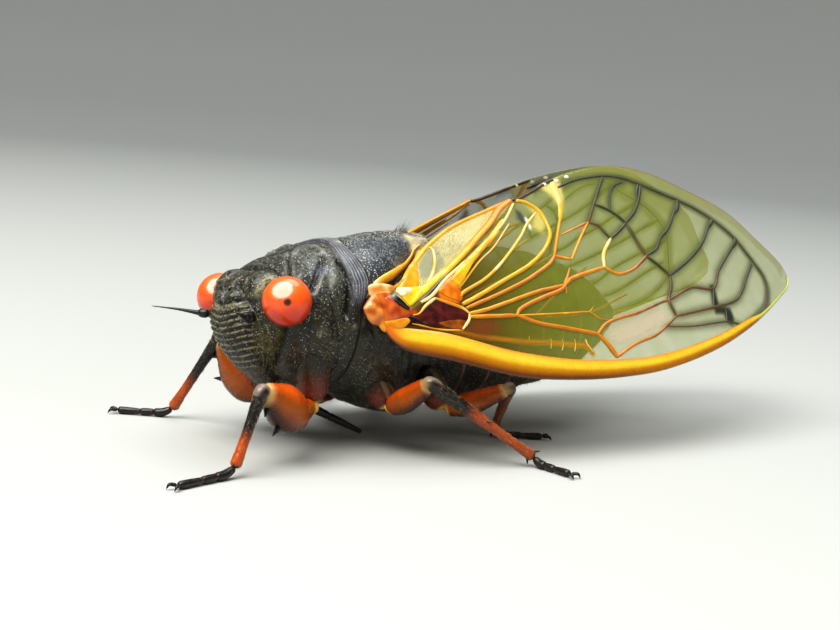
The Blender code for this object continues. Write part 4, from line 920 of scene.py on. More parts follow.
leg_cuticle = cuticle("leg_cuticle", 2600.0, 0.3, 900.0, 0.1, 0.3)
leg_parts = []
for leg, (hip, coxa_end, knee, ankle, claw) in LEGS.items():
    kind = leg.split("_")[0]
    hip, coxa_end, knee = Vector(hip), Vector(coxa_end), Vector(knee)
    ankle_spot = from_floor(*ankle, ANKLE_HEIGHT)
    sole = []
    for s, h in SOLE_STEPS:
        sole.append(from_floor(ankle[0] + (claw[0] - ankle[0]) * s, ankle[1] + (claw[1] - ankle[1]) * s, h))
    thigh_route = []
    for k, sag in enumerate(SAG_SHARES):
        place = coxa_end.lerp(knee, k / (len(SAG_SHARES) - 1))
        thigh_route.append(place - Vector((0, 0, sag * FEMUR_SAG[kind])))
    ring_route = [coxa_end + (coxa_end - hip).normalized() * 0.1, thigh_route[0].lerp(thigh_route[1], 0.5)]
    knee_route = [knee.lerp(coxa_end, 0.12), knee, knee.lerp(ankle_spot, 0.14)]
    parts = [
        limb([hip, coxa_end], COXA_RADII[kind], 36, 28, 1.0, hip_tint, 0.05),
        limb(ring_route, RING_RADII, 16, 20, 1.0, one_tint(RING_OCHRE, 0.35)),
        limb(thigh_route, FEMUR_RADII[kind], 60, 32, FEMUR_FLATNESS[kind], thigh_tint, 0.03),
        limb([knee, ankle_spot], TIBIA_RADII[kind], 70, 24, 1.0, shin_tint(kind), 0.02),
        limb([ankle_spot, sole[0], sole[0].lerp(sole[1], 0.4)], FOOT_RADII[0], 24, 20, 1.0, foot_tint),
        limb([sole[0].lerp(sole[1], 0.3), sole[1]], FOOT_RADII[1], 20, 20, 1.0, foot_tint),
        limb([sole[1].lerp(sole[0], 0.12), sole[2]], FOOT_RADII[2], 24, 20, 1.0, foot_tint),
        limb(knee_route, KNEE_RADII, 30, 24, 1.0, knee_tint, 0.03),
    ]
    ahead = (sole[2] - sole[1]).normalized()
    side = ahead.cross(FLOOR_UP).normalized()
    for hand in (1, -1):
        root = sole[2] + side * hand * 0.1
        bend = sole[2] + ahead * 0.36 + side * hand * 0.27 + FLOOR_UP * 0.05
        tip = sole[2] + ahead * 0.55 + side * hand * 0.3 - FLOOR_UP * 0.18
        parts.append(limb([root, bend, tip], CLAW_RADII, 16, 10, 1.0, foot_tint))
    if kind == "fore":
        axis = (knee - coxa_end).normalized()
        down = (axis * axis.z - Vector((0, 0, 1))).normalized()
        for share, length, lean in THIGH_SPINES:
            at = share * (len(SAG_SHARES) - 1)
            sag = smooth_through(list(enumerate(SAG_SHARES)), at) * FEMUR_SAG[kind]
            radius = smooth_through(list(enumerate(FEMUR_RADII[kind])), at)
            base = coxa_end.lerp(knee, share) - Vector((0, 0, sag)) + down * radius * 0.6
            tip = base + down * (radius * 0.4 + length) + axis * lean
            parts.append(limb([base, base.lerp(tip, 0.5), tip], THIGH_SPINE_RADII, 14, 12))
    else:
        axis = (ankle_spot - knee).normalized()
        side = axis.cross(Vector((0, 0, 1))).normalized()
        lift = side.cross(axis)
        radii = list(enumerate(TIBIA_RADII[kind]))
        for share, degrees, length in SHIN_SPINES:
            out = side * math.cos(math.radians(degrees)) + lift * math.sin(math.radians(degrees))
            base = knee.lerp(ankle_spot, share)
            radius = smooth_through(radii, share * (len(radii) - 1))
            tip = base + out * (radius + length * 0.7) + axis * length
            spine = [base + out * radius * 0.5, tip]
            parts.append(limb(spine, SHIN_SPINE_RADII, 10, 8, 1.0, one_tint(SPINE_BLACK, 0.3)))
    leg_parts.append(parts)
    limb_piece = gathered("leg_" + leg, parts)
    limb_piece.data.materials.append(leg_cuticle)
    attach(limb_piece, "root")
    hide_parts("coxa_" + leg, "femur_" + leg, "tibia_" + leg, "tarsus_" + leg)

# Wings: two pairs of clear glassy membrane on a frame of hollow veins, folded roof-wise over the back
# and hinged to the flank.  A stout yellow and orange band stiffens the front margin of each forewing,
# and the veins run from orange at the root to olive-black towards the tip.
FOREWING_BELOW = ((4.9, -1.2), (5.4, -2.4), (6.2, -3.15), (8.7, -3.95), (13.0, -5.3), (17.0, -5.9),
                  (21.0, -6.15), (25.1, -6.05), (30.8, -5.15), (35.9, -3.8), (40.0, -2.4), (41.8, -1.65),
                  (42.4, -0.8))
FOREWING_ABOVE = ((4.9, -0.1), (6.2, 0.7), (8.0, 2.2), (10.0, 3.7), (11.8, 4.9), (14.1, 5.8), (16.5, 6.1),
                  (18.8, 6.4), (21.5, 7.45), (24.3, 8.2), (27.8, 8.6), (31.2, 8.05), (34.6, 6.45),
                  (38.2, 4.4), (40.6, 1.8), (42.1, 0.1), (42.4, -0.8))
HINDWING_BELOW = ((8.6, -1.6), (11.0, -2.9), (15.0, -4.0), (19.0, -4.5), (23.0, -4.3), (26.5, -3.2),
                  (28.0, -1.4))
HINDWING_ABOVE = ((8.6, 0.2), (9.6, 0.8), (11.5, 1.6), (14.0, 2.8), (17.5, 3.4), (21.5, 3.2), (25.0, 2.0),
                  (27.0, 0.6), (28.0, -1.4))
HINDWING_INSET = 1.3
WING_SLOPE = 0.52
WING_RISE = 0.884
WING_LEAN = 0.468
WING_STAND_OUT = 5.05
FOLD_START = Vector((5.8, -1.5))
FOLD_END = Vector((17.8, 6.05))
MEMBRANE_HALF = 0.03
MEMBRANE_STEP = 0.15
MEMBRANE_INNER = (0.15, 0.11, 0.008)
MEMBRANE_ROOT = (0.1, 0.055, 0.005)
MEMBRANE_OUTER = (0.27, 0.3, 0.035)
RIM_OLIVE = (0.26, 0.27, 0.05)
MARGIN_RUST = (0.3, 0.12, 0.05)
SMOKE = (0.035, 0.045, 0.03)
HINDWING_INNER = (0.11, 0.06, 0.006)
HINDWING_OUTER = (0.26, 0.28, 0.05)
DARK_HUE = 2.85
WING_LENGTH = 42.2
COSTA_WIDTH = ((5.0, 1.1), (7.0, 1.6), (9.8, 1.75), (13.7, 1.6), (17.5, 1.3), (21.4, 1.1), (26.0, 0.95),
               (31.0, 0.8), (35.0, 0.55), (37.0, 0.25), (42.3, 0.14))
# Vein hues run from cream through gold, orange and red-brown to olive-black
VEIN_HUES = ((0.8, 0.64, 0.32), (0.7, 0.36, 0.01), (0.54, 0.175, 0.004), (0.17, 0.06, 0.01),
             (0.026, 0.032, 0.011))
# Each vein: its route along and across the wing, its radius and its hue at both ends, and how flat it is.
# The last five are short pale ticks over the hindwing's front vein.
FOREWING_VEINS = (
    (((6.8, -1.5), (8.6, -2.02), (10.03, -2.16)), 0.06, 0.07, 1.6, 1.2, 0),
    (((7.0, -1.0), (7.42, -0.93), (8.04, -0.49), (8.88, -0.08)), 0.07, 0.12, 1.2, 0.0, 0),
    (((8.88, -0.08), (9.8, -0.5), (10.6, -0.85), (10.95, -1.2)), 0.13, 0.13, 1.7, 1.7, 0),
    (((10.95, -1.2), (10.74, -1.61), (10.03, -2.12)), 0.11, 0.12, 0.0, 0.2, 0),
    (((10.95, -1.2), (12.28, -1.07), (14.53, -0.65), (16.85, -0.21), (18.82, 0.0), (19.23, 0.06)), 0.13,
     0.13, 1.5, 2, 0),
    (((10.9, -1.4), (12.6, -1.51), (14.5, -1.6)), 0.14, 0.14, 1.6, 2, 0),
    (((14.5, -1.6), (15.0, -1.2), (16.6, -0.72), (18.65, -0.26), (19.3, 0.1)), 0.13, 0.14, 2, 2, 0),
    (((14.5, -1.6), (15.9, -2.2), (17.5, -2.6), (20.34, -3.29)), 0.13, 0.14, 2, 2, 0),
    (((20.34, -3.29), (20.9, -4.0), (21.28, -4.87)), 0.14, 0.16, 2, 2, 0),
    (((14.5, -1.6), (17.9, -1.75), (20.38, -1.82)), 0.06, 0.07, 1.3, 1.8, 0),
    (((20.38, -1.82), (20.92, -1.48)), 0.06, 0.04, 1.8, 2.5, 0),
    (((20.38, -1.82), (21.09, -2.37), (21.97, -2.5)), 0.06, 0.05, 1.8, 2.5, 0),
    (((19.23, 0.06), (20.0, 0.45), (21.5, 0.75), (23.12, 1.03)), 0.15, 0.13, 2, 1.7, 0),
    (((19.2, 0.1), (19.75, 0.65), (20.18, 1.17)), 0.13, 0.05, 2, 2, 0),
    (((19.25, 0.1), (19.09, -0.47)), 0.11, 0.04, 2, 2, 0),
    # This vein is painted cream: a painted highlight on a dark stretch.
    (((23.12, 1.03), (23.6, 2.0), (24.79, 3.01)), 0.13, 0.12, 0.4, 0.8, 0),
    (((24.79, 3.01), (26.0, 3.6), (26.81, 4.09)), 0.11, 0.12, 3.9, 4, 0),
    (((23.52, 4.3), (24.24, 3.99), (24.55, 3.4), (24.79, 3.01)), 0.09, 0.1, 3.3, 4, 0),
    (((19.35, 2.05), (20.0, 1.9), (20.66, 1.74)), 0.11, 0.1, 2, 2, 0),
    (((20.66, 1.74), (22.0, 3.0), (23.52, 4.3)), 0.09, 0.1, 1.4, 1.9, 0),
    (((23.52, 4.3), (24.9, 5.7), (26.0, 6.8), (26.96, 7.75)), 0.1, 0.11, 3.6, 4, 0),
    (((23.52, 4.3), (22.67, 4.06), (20.78, 3.52)), 0.09, 0.06, 2.4, 1.8, 0),
    (((23.12, 1.03), (24.06, 0.5), (25.43, 0.7), (26.54, 1.21), (27.24, 1.6)), 0.11, 0.11, 1.8, 2.9, 0),
    (((27.24, 1.6), (28.48, 2.05), (29.37, 2.83), (30.65, 3.53), (32.6, 5.15)), 0.1, 0.11, 3.9, 4, 0),
    (((26.81, 4.09), (27.0, 2.7), (27.24, 1.6)), 0.14, 0.12, 4, 3.4, 0),
    (((27.24, 1.6), (28.0, 0.8), (28.56, 0.07), (28.3, -0.7), (27.62, -1.58), (27.7, -2.7)), 0.13, 0.1, 4,
     3.4, 0),
    (((26.81, 4.09), (28.12, 4.89), (29.12, 5.79), (30.08, 6.89)), 0.11, 0.12, 4, 4, 0),
    (((24.8, 5.64), (26.0, 5.0), (26.81, 4.09)), 0.1, 0.12, 4, 4, 0),
    (((26.0, 5.0), (26.4, 5.9), (27.4, 6.9), (28.5, 7.2)), 0.08, 0.08, 4, 4, 0),
    (((29.12, 5.79), (29.3, 6.3), (29.9, 6.95)), 0.09, 0.2, 4, 4, 0.4),
    (((32.1, 4.6), (32.7, 5.0), (33.1, 5.55)), 0.1, 0.24, 4, 4, 0.4),
    (((35.0, 3.3), (35.5, 3.6), (35.95, 3.9)), 0.1, 0.24, 4, 4, 0.4),
    (((36.9, 1.7), (37.3, 2.0), (37.6, 2.3)), 0.1, 0.26, 4, 4, 0.4),
    (((20.34, -3.29), (21.7, -2.6), (24.45, -2.2), (26.7, -1.7), (27.62, -1.58)), 0.11, 0.09, 2, 2.9, 0),
    (((27.62, -1.58), (30.2, -0.9), (32.45, -1.1), (34.0, 0.2), (37.2, 2.0)), 0.08, 0.11, 3, 4, 0),
    (((21.28, -4.87), (23.2, -4.2), (25.2, -3.8), (26.4, -3.3), (27.7, -2.7)), 0.11, 0.09, 2, 2.9, 0),
    (((27.7, -2.7), (31.7, -2.4), (34.6, -2.05), (36.9, -0.5), (38.1, 0.3)), 0.08, 0.11, 3.1, 4, 0),
    (((26.4, -3.3), (29.0, -3.5), (32.5, -3.5), (34.2, -4.0)), 0.05, 0.06, 3.0, 3.8, 0),
    (((31.7, -2.4), (32.45, -1.1)), 0.1, 0.12, 4, 4, 0),
    (((32.5, -3.5), (32.9, -2.6)), 0.1, 0.08, 4, 4, 0),
    (((28.56, 0.07), (31.0, 1.0), (33.4, 2.2), (35.4, 3.7)), 0.1, 0.11, 4, 4, 0),
    (((10.7, -0.6), (12.21, -0.13), (14.66, 0.73), (16.98, 1.55), (18.65, 2.46), (19.77, 3.51), (19.96, 4.46),
      (19.79, 5.34), (19.04, 5.96), (18.1, 6.2)), 0.15, 0.12, 1.2, 1.0, 0),
    (((10.9, -0.85), (13.72, -0.16), (16.16, 0.54), (18.0, 1.25), (18.8, 1.62), (19.35, 2.05)), 0.12, 0.13,
     2, 2, 0),
    (((19.35, 2.05), (20.17, 3.19), (21.3, 4.7)), 0.11, 0.1, 2, 1.4, 0),
    (((21.2, 4.5), (21.9, 5.7), (22.12, 6.59), (22.2, 7.4)), 0.14, 0.3, 1.0, 0.5, 0.6),
    (((10.6, -0.2), (11.25, 0.19), (13.2, 0.91), (15.05, 1.94), (17.22, 3.46), (18.25, 4.35), (19.47, 5.17)),
     0.12, 0.09, 1.4, 0.6, 0),
    (((10.9, 0.45), (11.42, 0.78), (13.25, 2.05), (14.84, 2.95), (16.9, 4.5)), 0.08, 0.05, 1.0, 0.6, 0),
    (((7.8, -0.25), (8.76, 0.12), (10.29, 1.11), (12.96, 2.51), (16.25, 4.44), (18.02, 5.9)), 0.11, 0.1, 0.1,
     0.4, 0),
    (((9.2, 1.05), (10.52, 1.66), (12.27, 2.65), (13.89, 3.68), (15.42, 4.65), (16.81, 5.7), (17.9, 6.2)),
     0.2, 0.28, 0.9, 2.0, 0.4),
    (((14.2, 3.1), (15.0, 3.6), (16.6, 4.8)), 0.26, 0.14, 1.3, 1.0, 0.5),
    (((6.4, 0.62), (6.69, 0.75), (8.0, 2.0), (9.59, 3.3), (10.77, 4.2), (11.8, 4.78), (12.9, 5.3),
      (14.1, 5.65),
      (16.23, 5.95), (17.9, 6.2)), 0.2, 0.15, 0.9, 1.6, 0.2),
    (((11.2, 4.3), (11.22, 4.0), (10.61, 2.85), (9.74, 1.77), (8.95, 1.1)), 0.08, 0.1, 0.6, 0.9, 0),
    (((17.9, 6.15), (18.8, 6.3), (21.5, 7.3), (22.4, 7.6)), 0.13, 0.12, 3.6, 3.9, 0),
    (((14.85, -2.95), (14.75, -3.2)), 0.03, 0.04, 1.1, 0.9, 0),
    (((16.46, -3.25), (16.4, -3.5), (16.2, -3.85)), 0.03, 0.045, 1.0, 0.9, 0),
    (((17.36, -3.35), (17.3, -3.65), (17.05, -4.05)), 0.03, 0.045, 0.9, 0.8, 0),
    (((18.34, -3.45), (18.25, -3.8), (18.0, -4.2)), 0.03, 0.045, 0.8, 0.7, 0),
    (((19.2, -3.55), (19.22, -3.9), (19.55, -4.5)), 0.06, 0.045, 0.7, 0.8, 0),
)
HINDWING_VEINS = (
    (((9.2, -0.9), (11.19, -1.92), (13.75, -2.46), (15.95, -2.91), (17.61, -3.06), (19.46, -3.43),
      (20.41, -3.58), (20.78, -4.07)), 0.2, 0.17, 1.3, 1.6, 0),
    (((9.2, -0.8), (13.0, -0.8), (17.51, -1.33), (21.73, -1.33), (25.5, -0.4)), 0.1, 0.07, 1.8, 2.2, 0),
    (((17.0, -1.3), (20.0, 0.3), (23.0, 1.7)), 0.08, 0.07, 1.8, 2.4, 0),
    (((9.2, -0.7), (12.5, 0.4), (16.0, 1.4), (19.0, 2.2), (21.0, 2.9)), 0.1, 0.07, 1.4, 1.8, 0),
)
# The vein round the tip, a little inside the margin
AMBIENT = ((22.3, 6.95), (24.3, 7.5), (26.83, 7.76), (28.62, 7.55), (30.14, 6.97), (31.68, 6.25),
           (33.21, 5.57), (34.6, 4.85), (35.95, 3.9), (37.0, 2.95), (37.65, 2.1), (38.1, 1.2), (38.5, 0.4),
           (38.95, -0.65), (38.8, -1.6), (38.0, -2.6), (36.9, -3.18), (34.4, -4.0))
RIM_WIDTH = 0.8
# Patches of the forewing that are not clear: outline, colour, cover and softness of the edge.
# The first is the orange of the hindwing's front vein, which shows through.
WING_PATCHES = (
    (((9.5, -2.08), (11.0, -2.53), (12.57, -2.85), (14.02, -3.11), (15.53, -3.3), (17.05, -3.53),
      (18.21, -3.69), (19.2, -3.83), (19.5, -4.6), (19.3, -4.65), (19.0, -4.0), (18.21, -3.87),
      (17.05, -3.71), (15.53, -3.46), (14.02, -3.27), (12.57, -3.01), (11.0, -2.68), (9.5, -2.22)),
     (0.5, 0.17, 0.005), 0.78, 0.3),
    (((4.4, -1.3), (4.6, -0.2), (8.0, 2.3), (11.8, 5.2), (17.9, 6.4), (14.0, 3.6), (10.4, 1.3), (7.1, -0.5),
      (6.0, -1.3)), (0.5, 0.43, 0.07), 0.36, 0.5),
    (((9.6, 1.5), (10.9, 2.3), (11.6, 4.3), (10.9, 4.2), (9.6, 2.9), (8.9, 1.7)), (0.3, 0.28, 0.08), 0.3,
     0.2),
    (((10.3, -2.15), (10.9, -1.6), (12.4, -1.6), (12.9, -2.3), (11.4, -2.7)), (0.2, 0.06, 0.012), 0.6, 1.1),
    (((20.9, -3.3), (22.6, -2.75), (25.05, -2.25), (27.0, -2.0), (26.7, -3.0), (24.77, -3.67), (22.6, -4.1),
      (21.5, -3.95)), (0.52, 0.42, 0.26), 0.5, 0.9),
    (((6.86, -1.08), (7.69, -0.62), (8.92, -0.12), (9.84, -0.38), (10.59, -0.84), (10.94, -1.25),
      (10.68, -1.7), (9.98, -2.18), (8.74, -1.86), (7.71, -1.54)), (0.05, 0.006, 0.005), 0.97, 0.15),
    (((8.3, -1.5), (9.3, -1.5), (10.4, -1.75), (9.9, -2.1), (9.2, -2.0)), (0.26, 0.06, 0.006), 0.95, 0.55),
    (((9.31, 0.37), (10.42, 1.0), (11.1, 0.75), (10.84, -0.07), (10.4, -0.55), (9.8, -0.37), (9.16, -0.13)),
     (0.62, 0.15, 0.006), 0.98, 0.2),
    (((5.5, -0.5), (5.8, 0.35), (6.52, -0.24), (7.01, -0.59), (7.35, -0.86), (6.9, -1.06), (6.03, -1.2)),
     (0.45, 0.055, 0.005), 1.0, 0.15),
    (((6.0, -0.85), (7.03, -1.0), (8.0, -1.5), (8.75, -1.95), (7.9, -1.88), (6.1, -1.5)),
     (0.016, 0.004, 0.003), 1.0, 0.15),
    (((6.33, 0.28), (7.13, 0.7), (7.85, 0.62), (8.9, 0.78), (7.57, -0.02), (6.81, -0.4), (6.5, -0.17)),
     (0.86, 0.6, 0.03), 1.0, 0.15),
    (((6.3, 0.72), (7.23, 0.95), (6.91, 0.29), (6.33, 0.28)), (0.9, 0.82, 0.58), 1.0, 0.25),
    (((6.99, 1.05), (8.6, 2.55), (9.9, 3.7), (9.37, 2.75), (8.3, 1.04), (7.39, 0.88)), (0.82, 0.36, 0.008),
     1.0, 0.15),
    (((7.5, -0.22), (9.26, 0.42), (10.4, 1.1), (10.3, 1.32), (9.0, 0.68), (7.4, -0.02)),
     (0.012, 0.005, 0.004), 1.0, 0.1),
    (((17.9, 5.6), (18.3, 5.3), (18.6, 4.4), (18.2, 4.2), (17.7, 4.8)), (0.05, 0.05, 0.045), 0.6, 0.3),
    (((18.35, 5.0), (18.6, 4.6), (18.5, 3.9), (18.3, 4.2)), (0.85, 0.85, 0.7), 0.8, 0.2),
    (((18.9, 6.0), (19.9, 5.3), (19.9, 4.3), (19.2, 3.6), (18.6, 4.2), (19.2, 5.1)), (0.66, 0.56, 0.12), 0.5,
     0.6),
    (((20.8, 7.2), (22.9, 7.7), (22.5, 6.2), (21.8, 5.2), (21.5, 6.4)), (0.7, 0.62, 0.18), 0.65, 0.5),
    (((32.19, -0.8), (32.64, -0.87), (32.4, -1.93), (32.3, -2.4), (32.65, -2.43), (33.4, -2.6),
      (33.41, -3.31), (32.92, -3.82), (32.6, -3.65), (32.5, -2.97), (31.6, -2.9), (31.75, -2.2)),
     (0.018, 0.022, 0.016), 0.85, 0.35),
)


def wing_sheet(spot, inset=0.0):
    """A place on the middle of the wing, worked out for the left side."""
    y, q = spot[0], spot[1]
    slope = WING_SLOPE - 0.32 * min(max((10 - y) / 5, 0.0), 1.0) ** 2
    tuck = 0.45 * min(max((8 - y) / 3.5, 0.0), 1.0) ** 2 + 1.9 * max((y - 26) / 15.5, 0.0) ** 2
    camber = 0.45 * (1 - ((q - 0.7) / 7.0) ** 2) - inset
    fold = (FOLD_END - FOLD_START).normalized()
    past = max((Vector((y, q)) - FOLD_START).dot(Vector((-fold.y, fold.x))), 0.0) * ease((y - 6.0) / 4.0)
    x = WING_STAND_OUT - slope * q - tuck + WING_RISE * camber - 0.46 * past
    return Vector((x, y, WING_RISE * q - 0.5 + WING_LEAN * camber - 0.51 * past))


def wing_out(spot, inset=0.0):
    """Outward direction of the wing at a place."""
    here = wing_sheet(spot, inset)
    onward = wing_sheet((spot[0] + 0.05, spot[1]), inset) - here
    out = onward.cross(wing_sheet((spot[0], spot[1] + 0.05), inset) - here)
    return out.normalized() if out.x > 0 else -out.normalized()


def eased_route(route, step):
    """Points at even steps along a smooth curve through the corners of a route."""
    corners = [Vector(p) for p in route]
    corners = [corners[0] * 2 - corners[1]] + corners + [corners[-1] * 2 - corners[-2]]
    places = []
    for p0, p1, p2, p3 in zip(corners, corners[1:], corners[2:], corners[3:]):
        parts = max(int((p2 - p1).length / step + 0.5), 1)
        for part in range(parts):
            t = part / parts
            places.append(0.5 * (2 * p1 + (p2 - p0) * t + (2 * p0 - 5 * p1 + 4 * p2 - p3) * t * t
                                 + (3 * p1 - p0 - 3 * p2 + p3) * t ** 3))
    return places + [corners[-2]]


def within(spot, outline):
    """How far a place lies inside a closed outline, and below zero outside it."""
    best, crossings = 1e9, 0
    for a, b in zip(outline, outline[1:] + outline[:1]):
        best = min(best, distance_to_run(spot, a, b))
        if (a.y > spot.y) != (b.y > spot.y) and spot.x < a.x + (spot.y - a.y) / (b.y - a.y) * (b.x - a.x):
            crossings += 1
    return best if crossings % 2 else -best


def vein_hue(hue):
    low = min(int(hue), len(VEIN_HUES) - 2)
    return mixed(VEIN_HUES[low], VEIN_HUES[low + 1], hue - low)


forewing_veins = FOREWING_VEINS + ((AMBIENT, 0.1, 0.05, 4.0, 3.6, 0),)
rim_line = vectors(AMBIENT)
dark_spots = []
for route, _, _, start, end, _ in forewing_veins:
    if min(start, end) > DARK_HUE:
        dark_spots += eased_route(route, 0.25)
dark_near = kdtree.KDTree(len(dark_spots))
for k, spot in enumerate(dark_spots):
    dark_near.insert((spot[0], spot[1], 0.0), k)
dark_near.balance()
patches = []
for outline, colour, cover, soft in WING_PATCHES:
    ys, qs = zip(*outline)
    box = min(ys) - soft, max(ys) + soft, min(qs) - soft, max(qs) + soft
    patches.append((vectors(outline), colour, cover, soft, box))


def forewing_tint(y, q):
    """Colour and cover of the forewing's membrane at a place."""
    clear = ease((y - 9) / 12)
    brown = ease((18 - y) / 8) * ease((2.5 - q) / 3)
    colour = mixed(mixed(MEMBRANE_INNER, MEMBRANE_ROOT, brown), MEMBRANE_OUTER, clear)
    cover = 0.4 - 0.12 * clear + 0.06 * noise.noise(Vector((y * 0.9, q * 0.9, 4.0)))
    if y > 20:
        spot = Vector((y, q))
        off = off_run(spot, rim_line)
        margin = min(smooth_through(FOREWING_ABOVE, y) - q, (WING_LENGTH - y) * 1.2)
        rim = ease((y - 21) / 2) * ease((RIM_WIDTH + 0.5 - margin) / 0.5)
        rim *= ease((q - smooth_through(FOREWING_BELOW, y) - 0.6) / 0.6)
        colour, cover = mixed(colour, RIM_OLIVE, rim * 0.8), cover + 0.16 * rim
        colour = mixed(colour, MARGIN_RUST, 0.6 * bell(margin - 0.1, 0.1) * ease((y - 27) / 4))
        smoke = bell(dark_near.find((y, q, 0.0))[2], 0.34) + 0.7 * bell(off, 0.3) * ease((y - 26) / 4)
        smoke = min(smoke, 1.0)
        colour, cover = mixed(colour, SMOKE, smoke * 0.8), cover + 0.34 * smoke
    for outline, patch_colour, patch_cover, soft, (y0, y1, q0, q1) in patches:
        if y0 < y < y1 and q0 < q < q1:
            share = ease(0.5 + within(Vector((y, q)), outline) / soft)
            colour = mixed(colour, patch_colour, share)
            cover += (patch_cover - cover) * share
    return (*colour, cover)


def hindwing_tint(y, q):
    outer = ease((y - 11) / 9)
    edge = min(smooth_through(HINDWING_ABOVE, y) - q, q - smooth_through(HINDWING_BELOW, y), 28 - y)
    cover = (0.24 - 0.14 * outer) * (0.1 + 0.9 * ease(edge / 2.2))
    return (*mixed(HINDWING_INNER, HINDWING_OUTER, outer), cover)


def membrane(below, above, inset, tint):
    """Places, faces and colours of a thin closed slab of membrane between a wing's two margins."""
    start, end = below[0][0], below[-1][0]
    columns = int((end - start) / MEMBRANE_STEP)
    rows = int(max(above[k][1] for k in range(len(above))) / MEMBRANE_STEP) + 34
    spots = []
    for c in range(columns):
        y = start + (end - start) * math.sin(math.pi / 2 * c / (columns - 1)) ** 0.9
        low, high = smooth_through(below, y), smooth_through(above, y)
        spots += [(y, low + (high - low) * r / (rows - 1)) for r in range(rows)]
    total = len(spots)
    tints = [tint(*spot) for spot in spots]
    sheet = [(wing_sheet(spot, inset), wing_out(spot, inset) * MEMBRANE_HALF) for spot in spots]
    places = [place + out for place, out in sheet] + [place - out for place, out in sheet]
    faces = []
    for c in range(columns - 1):
        for r in range(rows - 1):
            a = c * rows + r
            quad = (a, a + 1, a + rows + 1, a + rows)
            faces.append(quad)
            faces.append(tuple(v + total for v in reversed(quad)))
    rim = [c * rows for c in range(columns)] + [(columns - 1) * rows + r for r in range(1, rows)]
    rim += [c * rows + rows - 1 for c in range(columns - 2, -1, -1)] + list(range(rows - 2, 0, -1))
    faces += [(a, b, b + total, a + total) for a, b in zip(rim, rim[1:] + rim[:1])]
    return places, faces, tints + tints, spots + spots


def group_wires(name, inputs):
    """A new node group with the given named inputs: its tree, a wire on each input, and each input's key."""
    tree = bpy.data.node_groups.new(name, "GeometryNodeTree")
    keys = {}
    for label, kind in inputs:
        keys[label] = tree.interface.new_socket(label, in_out="INPUT", socket_type=kind).identifier
    tree.interface.new_socket("Geometry", in_out="OUTPUT", socket_type="NodeSocketGeometry")
    source = tree.nodes.new("NodeGroupInput")
    return tree, {label: Wire(tree, source.outputs[label]) for label, _ in inputs}, keys


def close_group(tree, geometry, material):
    """End a node group with its instances made real and its material set."""
    real = geometry.node("GeometryNodeRealizeInstances", sockets={"Geometry": geometry})
    dressed = real.node("GeometryNodeSetMaterial", sockets={"Geometry": real, "Material": material})
    tree.links.new(dressed.socket, tree.nodes.new("NodeGroupOutput").inputs[0])


# Veins and wing roots: the veins are round hollow tubes, squashed to flat straps in places, and the
# front band and the puffed scale over the hinge are the same hard cuticle, grown with the membrane.
VEIN_SIDES = 12
VEIN_STEP = 0.14
BAND_SIDES = 24
BAND_STATIONS = (5.0, 42.2, 260)
BAND_OCHRE = (0.58, 0.25, 0.004)
BAND_YELLOWS = ((0.62, 0.4, 0.008), (0.68, 0.52, 0.05))
BAND_UNDER = (0.36, 0.13, 0.002)
BAND_ROOT = (0.55, 0.14, 0.008)
BAND_SEAM = (0.12, 0.028, 0.002)
BAND_EDGE = (0.5, 0.18, 0.008)
BAND_TIP = (0.4, 0.42, 0.08)
PAD_REACHES = (1.0, 0.97, 0.9, 0.8, 0.66, 0.5, 0.33, 0.16)
HINGE_STEPS, HINGE_SIDES, HINGE_START = 14, 28, 2.4
HINGE_DARK = (0.03, 0.025, 0.02)
HINGE_PALE = {"fore": (0.4, 0.12, 0.03), "hind": (0.4, 0.15, 0.03)}
CORD_RADII = (0.2, 0.32, 0.34, 0.28, 0.2, 0.16, 0.12, 0.05)
CORD_YELLOWS = ((0.64, 0.24, 0.006), (0.72, 0.42, 0.04))
CORD_CREAM = (0.74, 0.6, 0.28)
CORD_UNDER = (0.14, 0.016, 0.005)
SCALE_CREASE = ((5.8, 0.25), (6.28, -0.17), (6.8, -0.7))
CREASE_GREY, CREASE_BLACK = (0.2, 0.2, 0.22), (0.01, 0.009, 0.01)
GLINT_BEAD_CREAM = (0.8, 0.78, 0.6, 0.15)
vein_tree, vein_in, vein_keys = group_wires("vein_tube", (
    ("Geometry", "NodeSocketGeometry"), ("Sides", "NodeSocketInt"), ("Material", "NodeSocketMaterial")))
lines = vein_in["Geometry"].node("GeometryNodeMeshToCurve", sockets={"Mesh": vein_in["Geometry"]})
ring = lines.node("GeometryNodeCurvePrimitiveCircle", sockets={"Resolution": vein_in["Sides"], "Radius": 1.0})
radius = lines.node("GeometryNodeInputNamedAttribute", {"data_type": "FLOAT"}, {"Name": "radius"})
tube = lines.node("GeometryNodeCurveToMesh",
                  sockets={"Curve": lines, "Profile Curve": ring, "Scale": radius, "Fill Caps": True})
centre = lines.node("GeometryNodeInputNamedAttribute", {"data_type": "FLOAT_VECTOR"}, {"Name": "centre"})
outward = lines.node("GeometryNodeInputNamedAttribute", {"data_type": "FLOAT_VECTOR"}, {"Name": "outward"})
flatness = lines.node("GeometryNodeInputNamedAttribute", {"data_type": "FLOAT"}, {"Name": "flatness"})
where = lines.node("GeometryNodeInputPosition")
from_centre = lines.node("ShaderNodeVectorMath", {"operation": "SUBTRACT"}, {0: where, 1: centre})
height = lines.node("ShaderNodeVectorMath", {"operation": "DOT_PRODUCT"}, {0: from_centre, 1: outward},
                    output="Value")
press = lines.node("ShaderNodeVectorMath", {"operation": "SCALE"},
                   {0: outward, "Scale": height * flatness * -1.0})
pressed = lines.node("GeometryNodeSetPosition", sockets={"Geometry": tube, "Offset": press})
close_group(vein_tree, pressed, vein_in["Material"])


